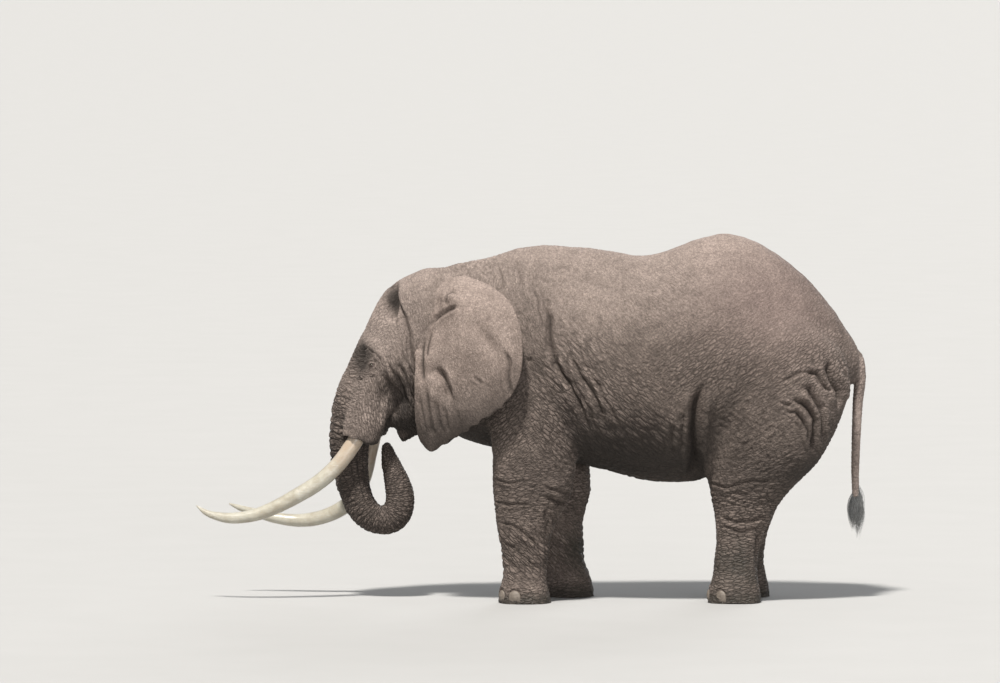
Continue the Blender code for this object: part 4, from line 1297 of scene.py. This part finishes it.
# ---------------------------------------------------------------- eyes, tusks, nails, tail brush
def eyeball(name, side):
    """A ball with a bulging cornea; its faces know how far round from the pupil they are."""
    centre, forward, _, out = eye_frame(side)
    gaze = (out + 0.10 * forward).normalized()
    mesh = bmesh.new()
    bmesh.ops.create_uvsphere(mesh, u_segments=96, v_segments=64, radius=EYE_RADIUS)
    turn = gaze.to_track_quat("Z", "Y").to_matrix().to_4x4()
    round_from_pupil = []
    for vert in mesh.verts:
        angle = vert.co.angle(Vector((0, 0, 1)))
        round_from_pupil.append(angle)
        vert.co *= 1 + 0.045 * math.exp(-((angle / 0.52) ** 4))
    mesh.transform(Matrix.Translation(centre) @ turn)
    obj = to_object(name, mesh)
    keep_values(obj, "from_pupil", np.array(round_from_pupil))
    return obj


def shift(obj):
    obj.data.transform(Matrix.Translation(SHIFT))
    for polygon in obj.data.polygons:
        polygon.use_smooth = True
    return obj


def tusk(name, keys, side):
    """A slightly uneven tapering tusk with a worn, rounded tip."""
    line = tusk_line(keys, side)
    blunt = TUSK_ROWS - 4
    rows = [(*place, radius * (1.0 if n < blunt else 1.06)) for n, (place, radius) in enumerate(line)]
    fine = []
    for (x0, y0, z0, r0), (x1, y1, z1, r1) in zip(rows, rows[1:]):
        fine += [(x0, y0, z0, r0), ((x0 + x1) / 2, (y0 + y1) / 2, (z0 + z1) / 2, (r0 + r1) / 2)]
    fine += [rows[-1]]
    obj = tube(name, fine, TUSK_SIDES)
    points, normals = get_points(obj), get_normals(obj)
    places = np.array([p for p, _ in line])
    nearest = np.argmin(np.linalg.norm(points[:, None] - places[None], axis=2), axis=1)
    passed = np.concatenate([[0], np.cumsum(np.linalg.norm(np.diff(places, axis=0), axis=1))])
    drift = 0.0030 * noise(points * 4, 5) + 0.0010 * noise(points * np.array([14, 40, 40]), 6)
    flutes = 0.0007 * noise(np.stack([points[:, 0] * 4, points[:, 1] * 90, points[:, 2] * 90], 1), 9)
    fade = np.clip((passed[-1] - passed[nearest]) / 0.2, 0.15, 1)
    set_points(obj, points + normals * ((drift + flutes) * fade)[:, None])
    keep_values(obj, "along", passed[nearest] / passed[-1])
    return obj


def nail_wave(a, b, middle):
    """Slow noise over one nail, different from nail to nail."""
    place = np.array([[a * 1.6 + middle.x * 7, b * 1.6 + middle.y * 7, middle.z]])
    return float(noise(place, 12)[0])


def nail(name, middle, turn):
    """A domed plate with growth ridges, squared off near the ground."""
    mesh = bmesh.new()
    bmesh.ops.create_grid(mesh, x_segments=44, y_segments=40, size=1.0)
    low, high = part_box(name)
    half_height = (high[2] - low[2]) / 2
    out = Vector((math.cos(turn), math.sin(turn), 0))
    across = Vector((-math.sin(turn), math.cos(turn), 0))
    for vert in mesh.verts:
        u, v = vert.co.x, vert.co.y
        round_off = 0.5 if v > 0 else 0.14
        a, b = u * math.sqrt(1 - round_off * v * v), v * math.sqrt(1 - round_off * u * u)
        rim = max(0.0, (1 - u * u) * (1 - v * v))
        rise = NAIL_RISE * (rim**0.42)
        ridge = 0.0011 * math.sin(b * 27 + 2.2 * a * a + 1.5 * nail_wave(a, b, middle))
        chip = 0.0025 * nail_wave(3 * a, 0.0, middle) if b < -0.6 else 0.0
        place = middle + across * (a * NAIL_HALF_WIDTH) + out * (rise + ridge * rim**0.5 + chip)
        place = place + Vector((0, 0, b * half_height * 0.97))
        vert.co = place - out * 0.006 * (1 - rim)
    backs = bmesh.ops.extrude_face_region(mesh, geom=mesh.faces[:])
    for vert in backs["geom"]:
        if isinstance(vert, bmesh.types.BMVert):
            vert.co -= out * NAIL_BACK
    face_outward(mesh)
    return to_object(name, mesh)


BRUSH_HAIRS = 760
BRUSH_END = 0.535  # height of the lowest hair
UPPER_LASHES, LOWER_LASHES = 32, 14
PATCH = 0.003  # width of a hair's patch on the OFBake map


class HairBuilder:
    """Collects tapered four-sided hairs, each with its own small patch of the OFBake map."""

    def __init__(self, name):
        self.name = name
        self.points = []
        self.faces = []
        self.uvs = []

    def add(self, line, radius, patch):
        start = len(self.points)
        for n, place in enumerate(line):
            ahead = line[min(n + 1, len(line) - 1)] - line[max(n - 1, 0)]
            ahead.normalize()
            side = ahead.orthogonal().normalized()
            other = ahead.cross(side)
            share = n / (len(line) - 1)
            width = radius * (1 - 0.85 * share**1.6)
            for k in range(4):
                a = math.pi / 2 * k
                self.points.append(place + width * (math.cos(a) * side + math.sin(a) * other))
        rings = len(line)
        for n in range(rings - 1):
            for k in range(4):
                a, b = start + 4 * n + k, start + 4 * n + (k + 1) % 4
                self.faces.append((a, b, b + 4, a + 4))
                low, high = n / (rings - 1), (n + 1) / (rings - 1)
                corners = ((k / 4, low), ((k + 1) / 4, low), ((k + 1) / 4, high), (k / 4, high))
                self.uvs += [(patch[0] + PATCH * u, patch[1] + PATCH * v) for u, v in corners]
        self.faces.append(tuple(start + 3 - k for k in range(4)))
        self.uvs += [patch] * 4
        last = start + 4 * (rings - 1)
        self.faces.append(tuple(last + k for k in range(4)))
        self.uvs += [(patch[0] + PATCH, patch[1] + PATCH)] * 4

    def build(self):
        data = bpy.data.meshes.new(self.name)
        data.from_pydata([tuple(p) for p in self.points], [], self.faces)
        layer = data.uv_layers.new(name="OFBake")
        layer.data.foreach_set("uv", [c for uv in self.uvs for c in uv])
        return add_object(self.name, data)


def tail_brush():
    """Stiff hairs in two rows, front and rear of the tail's flattened end."""
    rng = np.random.default_rng(8)
    brush = HairBuilder("tail_brush")
    for n in range(BRUSH_HAIRS):
        front = n % 2 == 0
        root_z = rng.uniform(0.93, 1.00) if front else rng.uniform(0.91, 1.07)
        root_y = rng.uniform(-0.014, 0.014)
        root = Vector((TUFT_X + (-0.012 if front else 0.012), root_y, root_z))
        length = rng.uniform(0.24, 0.40) * (0.85 if front else 1.0)
        fan = (-1 if front else 1) * rng.uniform(-0.022, 0.056)
        sway = rng.uniform(-0.028, 0.028)
        curl = rng.uniform(-0.018, 0.018)
        line = []
        for k in range(10):
            t = k / 9
            line.append(root + Vector((
                fan * math.sin(2.75 * t) + curl * math.sin(3.1 * t),
                sway * math.sin(2.6 * t) + 0.004 * math.sin(4 * t + n),
                -length * t + 0.02 * t * t,
            )))
            line[-1].z = max(line[-1].z, BRUSH_END)
        round_tail = 0.2 + 0.25 * n / BRUSH_HAIRS + (0.4 if front else 0.0)
        patch = (0.05 + 0.9 * (root_z - 0.91) / 0.16 * 0.9, round_tail)
        brush.add(line, rng.uniform(0.0011, 0.0019), patch)
    return brush.build()


def lashes(name, side):
    """Upper and lower eyelashes, curving down over the eye."""
    rng = np.random.default_rng(30 + side)
    centre, forward, up, out = eye_frame(side)
    hairs = HairBuilder(name)
    for n in range(UPPER_LASHES + LOWER_LASHES):
        upper = n < UPPER_LASHES
        share = (n + 0.5) / UPPER_LASHES if upper else (n + 0.5 - UPPER_LASHES) / LOWER_LASHES
        u = (share * 2 - 1) * 0.95 * EYE_HALF_WIDTH
        half = max(0.0, 1 - (u / EYE_HALF_WIDTH) ** 2)
        v = (UPPER_GAPE + 0.0008 if upper else -LOWER_GAPE - 0.0007) * half
        w = math.sqrt(max(0.0, (EYE_RADIUS + LID_THICKNESS) ** 2 - u * u - v * v)) - 0.001
        root = centre + u * forward + v * up + w * out
        length = rng.uniform(0.016, 0.026) if upper else rng.uniform(0.005, 0.009)
        lean = rng.uniform(-0.15, 0.15) + 0.35 * (share * 2 - 1)
        line = []
        for k in range(7):
            t = k / 6
            drop = (-0.30 if upper else -0.40) * t * length - (0.25 * t * t * length if upper else 0)
            line.append(root + out * (0.85 * length * t) + up * drop + forward * (lean * length * t))
        patch = (0.1 + 0.8 * share, 0.6 if upper else 0.3)
        hairs.add(line, rng.uniform(0.00045, 0.0007), patch)
    return hairs.build()


# ---------------------------------------------------------------- materials
class Nodes:
    """Short calls for building a material's node tree."""

    def __init__(self, name):
        self.material = bpy.data.materials.new(name)
        self.material.use_nodes = True
        self.tree = self.material.node_tree
        self.surface = self.tree.nodes["Principled BSDF"]
        self.place = self.node("ShaderNodeTexCoord").outputs["Object"]

    def put(self, socket, value):
        if isinstance(value, bpy.types.NodeSocket):
            self.tree.links.new(value, socket)
        else:
            socket.default_value = value

    def node(self, kind, inputs=None, **settings):
        """A new node with its settings, and with its inputs given by name or number."""
        made = self.tree.nodes.new(kind)
        for key, value in settings.items():
            setattr(made, key, value)
        for key, value in (inputs or {}).items():
            self.put(made.inputs[key], value)
        return made

    def attribute(self, name):
        return self.node("ShaderNodeAttribute", attribute_name=name).outputs["Fac"]

    def math(self, operation, a, b, clamp=False):
        return self.node("ShaderNodeMath", {0: a, 1: b}, operation=operation, use_clamp=clamp).outputs[0]

    def plus(self, a, b, clamp=False):
        return self.math("ADD", a, b, clamp)

    def minus(self, a, b, clamp=False):
        return self.math("SUBTRACT", a, b, clamp)

    def times(self, a, b, clamp=False):
        return self.math("MULTIPLY", a, b, clamp)

    def larger(self, a, b, clamp=False):
        return self.math("MAXIMUM", a, b, clamp)

    def noise(self, scale, detail=4.0, rough=0.55, place=None, warp=0.0):
        inputs = {"Vector": place or self.place, "Scale": scale, "Detail": detail}
        inputs |= {"Roughness": rough, "Distortion": warp}
        return self.node("ShaderNodeTexNoise", inputs).outputs["Fac"]

    def stretch(self, scale, turn=(0.0, 0.0, 0.0), place=None):
        """Coordinates turned, then stretched, so that a pattern runs along a direction."""
        turned = self.node("ShaderNodeMapping", {"Vector": place or self.place, "Rotation": turn})
        return self.node("ShaderNodeMapping", {"Vector": turned.outputs[0], "Scale": scale}).outputs[0]

    def warped(self, amount, scale, place=None):
        """Coordinates pushed about by noise."""
        place, vector = place or self.place, "ShaderNodeVectorMath"
        noise = self.node("ShaderNodeTexNoise", {"Vector": place, "Scale": scale, "Detail": 2.0})
        centred = {0: noise.outputs["Color"], 1: (0.5, 0.5, 0.5)}
        centred = self.node(vector, centred, operation="SUBTRACT").outputs[0]
        push = self.node(vector, {0: centred, "Scale": amount}, operation="SCALE").outputs[0]
        return self.node(vector, {0: place, 1: push}, operation="ADD").outputs[0]

    def cracks(self, scale, place, sharp):
        """1 in the cracks between random cells and 0 inside the cells; the sharper, the narrower."""
        inputs = {"Vector": place, "Scale": scale}
        away = self.node("ShaderNodeTexVoronoi", inputs, feature="DISTANCE_TO_EDGE").outputs["Distance"]
        return self.minus(1.0, self.times(away, sharp, clamp=True), clamp=True)

    def ramp(self, value, *stops):
        made = self.node("ShaderNodeValToRGB", {"Fac": value})
        points = made.color_ramp.elements
        while len(points) < len(stops):
            points.new(0.5)
        for point, (at, colour) in zip(points, stops):
            point.position = at
            point.color = (*colour, 1.0) if isinstance(colour, tuple) else (colour, colour, colour, 1.0)
        return made.outputs["Color"]

    def mix(self, share, a, b, kind="MIX"):
        a, b = ((*value, 1.0) if isinstance(value, tuple) else value for value in (a, b))
        inputs = {0: share, 6: a, 7: b}
        return self.node("ShaderNodeMix", inputs, data_type="RGBA", blend_type=kind).outputs[2]

    def mottle(self, share, tone, pattern, low, high):
        """The tone times a ramp of the pattern, whose two stops are low and high."""
        return self.mix(share, tone, self.ramp(pattern, low, high), "MULTIPLY")

    def bump(self, height, distance, strength=1.0):
        inputs = {"Height": height, "Distance": distance, "Strength": strength}
        self.put(self.surface.inputs["Normal"], self.node("ShaderNodeBump", inputs).outputs[0])

    def finish(self, colour, rough, **others):
        """Gives the surface its colour, roughness and other inputs, and returns the material."""
        values = {"Base Color": colour, "Roughness": rough}
        values |= {name.replace("_", " "): value for name, value in others.items()}
        for name, value in values.items():
            self.put(self.surface.inputs[name], value)
        return self.material


def skin_material():
    m = Nodes("elephant_skin")
    near = m.warped(0.020, 9.0)
    # nets of fine creases, each running its own way
    net = None
    for name, lie, spacing, length in NETS:
        long = 1 / (length * spacing)
        place = m.stretch((long, long, 1 / spacing), (0, math.radians(lie), 0), near)
        part = m.times(m.cracks(1.0, place, 4.6), m.attribute(name))
        net = part if net is None else m.plus(net, part)
    head, ear = m.attribute("head_share"), m.attribute("ear_share")
    head_net = m.times(m.cracks(88.0, near, 4.5), m.times(head, 0.22))
    ear_net = m.times(m.cracks(40.0, near, 4.5), m.times(ear, 0.14))
    wrap = m.node("ShaderNodeCombineXYZ")
    m.put(wrap.inputs[0], m.times(m.attribute("trunk_along"), 2.2))
    m.put(wrap.inputs[1], m.times(m.attribute("trunk_round"), 2.6))
    trunk_cells = m.cracks(1.0, m.warped(0.5, 1.3, wrap.outputs[0]), 4.0)
    trunk_net = m.times(trunk_cells, m.attribute("trunk_share"))
    creases = m.plus(net, m.plus(head_net, m.plus(ear_net, trunk_net)), clamp=True)
    pebbles = m.cracks(78.0, m.warped(0.006, 30.0), 4.0)
    height = m.minus(m.times(m.noise(420.0, 3.0), 0.10), creases)
    pebble_depth = m.minus(0.24, m.times(ear, 0.12))
    m.bump(m.minus(height, m.times(pebbles, pebble_depth)), 0.0095)

    # grey-brown hide, paler on top and on faces turned towards the key light (dust and painted light),
    # with pink-tinged rump and ears
    broad = m.noise(1.3, 4.0, 0.6, warp=0.5)
    middling = m.noise(6.0, 5.0, 0.6, warp=0.8)
    small = m.noise(34.0, 4.0, 0.6)
    hide = m.ramp(
        broad, (0.30, (0.128, 0.103, 0.088)), (0.52, (0.176, 0.142, 0.122)), (0.72, (0.224, 0.182, 0.157))
    )
    hide = m.mottle(0.75, hide, middling, (0.35, (0.72, 0.70, 0.68)), (0.60, (1.12, 1.10, 1.08)))
    hide = m.mottle(0.55, hide, small, (0.36, (0.80, 0.79, 0.78)), (0.62, (1.10, 1.10, 1.10)))
    dust_and_painted_light = m.times(m.attribute("dust_and_painted_light"), m.plus(0.35, middling), clamp=True)
    hide = m.mix(m.times(dust_and_painted_light, 0.88), hide, (0.362, 0.296, 0.259))
    hide = m.mix(m.times(m.attribute("rump"), 0.50), hide, (0.225, 0.165, 0.149))
    ear_tone = m.ramp(middling, (0.35, (0.240, 0.180, 0.152)), (0.68, (0.345, 0.268, 0.230)))
    hide = m.mix(m.times(ear, 0.22), hide, ear_tone)
    grit, flecks = m.noise(90.0, 2.0, 0.5), m.noise(44.0, 2.0, 0.6, near)
    hide = m.mottle(0.66, hide, grit, (0.36, (0.66, 0.65, 0.65)), (0.64, (1.34, 1.33, 1.32)))
    hide = m.mottle(1.0, hide, flecks, (0.36, (0.84, 0.83, 0.83)), (0.64, (1.15, 1.15, 1.15)))

    # painted shade in creases, folds, hollows and underneath, and wet mud
    fine = m.times(m.math("POWER", creases, 1.15), 0.95)
    dark = m.larger(m.times(m.attribute("groove"), 0.93), fine, clamp=True)
    fainter = m.minus(1.0, m.times(head, 0.30))
    hide = m.mix(m.times(dark, fainter), hide, (0.024, 0.018, 0.014))
    # painted shade on undersides and in the eye sockets, temple pits and cheek hollows
    painted_shade = m.larger(m.times(m.attribute("painted_shade_below"), 0.88), m.times(m.attribute("socket"), 0.84))
    hide = m.mix(painted_shade, hide, (0.020, 0.016, 0.013))
    wet = m.attribute("wet")
    hide = m.mix(m.times(wet, 0.72, clamp=True), hide, (0.022, 0.020, 0.014))
    rough = m.minus(m.plus(0.70, m.times(small, 0.22)), m.times(wet, 0.30))
    return m.finish(hide, rough, Specular_IOR_Level=0.32)


def ivory_material():
    m = Nodes("tusk_ivory")
    grain = m.noise(1.0, 5.0, 0.6, m.stretch((6.0, 120.0, 120.0)))
    cloud = m.noise(7.0, 4.0, 0.6, warp=0.6)
    tone = m.ramp(
        cloud, (0.30, (0.31, 0.28, 0.22)), (0.55, (0.41, 0.39, 0.325)), (0.75, (0.47, 0.455, 0.40))
    )
    tone = m.mottle(0.35, tone, grain, (0.35, (0.72, 0.66, 0.56)), (0.65, (1.0, 1.0, 1.0)))
    # brown near the root, with cracks lengthwise and scuffs
    stain_edge = m.plus(m.attribute("along"), m.times(m.minus(cloud, 0.5), 0.22))
    stain = m.ramp(stain_edge, (0.14, 1.0), (0.34, 0.0))
    tone = m.mix(m.times(stain, 0.55), tone, (0.42, 0.30, 0.215))
    crack_place = m.stretch((2.2, 60.0, 60.0), place=m.warped(0.02, 5.0))
    cracks = m.times(m.cracks(1.0, crack_place, 16.0), m.ramp(m.noise(3.0), (0.50, 0.0), (0.62, 1.0)))
    tone = m.mix(m.times(cracks, 0.55), tone, (0.20, 0.14, 0.09))
    scuffs = m.ramp(m.noise(1.0, 6.0, 0.7, m.stretch((16.0, 5.0, 46.0))), (0.60, 0.0), (0.74, 1.0))
    tone = m.mix(m.times(scuffs, 0.20), tone, (0.38, 0.30, 0.21))
    m.bump(m.minus(m.times(grain, 0.4), cracks), 0.0012, 0.6)
    rough = m.plus(0.28, m.times(scuffs, 0.25))
    return m.finish(tone, rough, Subsurface_Weight=0.08, Subsurface_Radius=(0.012, 0.008, 0.005))


def nail_material():
    m = Nodes("toenail_horn")
    bands = m.noise(1.0, 4.0, 0.6, m.stretch((30.0, 30.0, 180.0), place=m.warped(0.01, 16.0)))
    cloud = m.noise(22.0, 4.0, 0.6)
    tone = m.ramp(cloud, (0.30, (0.105, 0.086, 0.070)), (0.62, (0.190, 0.160, 0.132)))
    tone = m.mottle(0.5, tone, bands, (0.35, (0.66, 0.64, 0.60)), (0.62, (1.12, 1.10, 1.06)))
    m.bump(bands, 0.0018, 0.8)
    return m.finish(tone, m.plus(0.45, m.times(cloud, 0.25)))


def eye_material():
    m = Nodes("eye")
    streaks = m.noise(1.0, 5.0, 0.6, m.stretch((240.0, 240.0, 240.0)))
    # pupil, iris and white, by the angle round from the pupil
    tone = m.ramp(
        m.plus(m.attribute("from_pupil"), m.times(m.minus(streaks, 0.5), 0.06)),
        (0.00, (0.002, 0.002, 0.002)),
        (0.200, (0.003, 0.002, 0.002)),
        (0.230, (0.045, 0.020, 0.007)),
        (0.38, (0.065, 0.030, 0.011)),
        (0.47, (0.022, 0.011, 0.006)),
        (0.53, (0.016, 0.009, 0.006)),
        (0.62, (0.090, 0.060, 0.045)),
        (0.90, (0.200, 0.150, 0.125)),
    )
    tone = m.mottle(0.3, tone, streaks, (0.3, (0.5, 0.5, 0.5)), (0.7, (1.3, 1.3, 1.3)))
    m.bump(streaks, 0.0002, 0.15)
    return m.finish(tone, 0.06, Coat_Weight=1.0, Coat_Roughness=0.02)


def hair_material(name, *tones):
    m = Nodes(name)
    strands = m.noise(1.0, 3.0, 0.6, m.stretch((260.0, 260.0, 9.0)))
    m.bump(strands, 0.0004, 0.4)
    tone = m.ramp(strands, *zip((0.32, 0.52, 0.72), tones))
    return m.finish(tone, m.plus(0.30, m.times(strands, 0.25)))


def floor_material():
    m = Nodes("studio_floor")
    tone = m.ramp(m.noise(1.2, 3.0), (0.3, (0.385, 0.381, 0.371)), (0.7, (0.395, 0.391, 0.381)))
    return m.finish(tone, 0.85)


# ---------------------------------------------------------------- the model
def place_piece(obj, material, slot, *nodes):
    """Moves a finished piece with the whole animal and declares what it rides on and replaces."""
    shift(obj)
    obj.data.materials.clear()
    obj.data.materials.append(material)
    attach(obj, "root")
    if nodes:
        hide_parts(*nodes)


FLESH = [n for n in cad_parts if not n.startswith(("nail_", "eye_", "tusk_")) and n != "tail_tuft"]
IVORY, HORN, EYE_LOOK = ivory_material(), nail_material(), eye_material()
TAIL_HAIR = hair_material("tail_hair", (0.060, 0.060, 0.060), (0.190, 0.192, 0.187), (0.400, 0.402, 0.385))
LASH_HAIR = hair_material("lash_hair", (0.012, 0.011, 0.010), (0.030, 0.028, 0.026), (0.060, 0.056, 0.052))

place_piece(skin(), skin_material(), "skin", *FLESH)
for word, side, keys in (("left", -1, LEFT_TUSK), ("right", 1, RIGHT_TUSK)):
    place_piece(eyeball(f"eyeball_{word}", side), EYE_LOOK, "eye", f"eye_{word}")
    place_piece(lashes(f"lashes_{word}", side), LASH_HAIR, "tail_hair")
    place_piece(tusk(f"ivory_{word}", keys, side), IVORY, "ivory", f"tusk_{word}")
for name, middle, turn in nail_bearings():
    piece = nail(name, middle, turn)
    piece.name = name.replace("nail", "toenail")
    place_piece(piece, HORN, "nail", name)
place_piece(tail_brush(), TAIL_HAIR, "tail_hair", "tail_tuft")

# ---------------------------------------------------------------- studio
STAGE_HALF = 1600.0
STAGE_LIGHTS = (  # name, direction towards it, strength, width in degrees, colour
    ("key", (-0.20, -0.62, 1.15), 5.5, 7.0, (1.0, 0.97, 0.93)),
    ("fill", (0.25, -1.00, 0.09), 1.1, 24.0, (0.97, 0.97, 1.0)),
    ("back", (0.30, 1.00, 0.38), 0.8, 24.0, (0.97, 0.98, 1.0)),
)
SENSOR_WIDTH = 36.0
CAMERA_DISTANCE = 80.0
CAMERA_ELEVATION = math.radians(3)
METRES_ACROSS = 9.0909  # width of the view at the animal
VIEW_CENTRE = Vector((-0.282, 0.0, 2.350))

floor_mesh = bmesh.new()
bmesh.ops.create_grid(floor_mesh, x_segments=2, y_segments=2, size=STAGE_HALF)
floor = to_object("floor", floor_mesh)
floor.data.materials.append(floor_material())


def stage_light(name, towards, strength, width, colour):
    data = bpy.data.lights.new(name, "SUN")
    data.energy = strength
    data.angle = math.radians(width)
    data.color = colour
    add_object(name, data).rotation_euler = (-Vector(towards)).to_track_quat("-Z", "Y").to_euler()


for light in STAGE_LIGHTS:
    stage_light(*light)

world = bpy.data.worlds.new("studio")
world.use_nodes = True
backdrop = world.node_tree.nodes["Background"]
backdrop.inputs["Color"].default_value = (0.86, 0.88, 0.90, 1.0)
backdrop.inputs["Strength"].default_value = 0.42
bpy.context.scene.world = world
bpy.context.scene.view_settings.view_transform = "Standard"

camera_data = bpy.data.cameras.new("camera")
camera_data.sensor_width = SENSOR_WIDTH
camera_data.lens = SENSOR_WIDTH * CAMERA_DISTANCE / METRES_ACROSS
camera_data.clip_start = 1.0
camera_data.clip_end = 5000.0
camera = add_object("camera", camera_data)
back = Vector((0.0, -math.cos(CAMERA_ELEVATION), math.sin(CAMERA_ELEVATION)))
camera.location = VIEW_CENTRE + SHIFT + CAMERA_DISTANCE * back
camera.rotation_euler = (-back).to_track_quat("-Z", "Y").to_euler()
bpy.context.scene.camera = camera
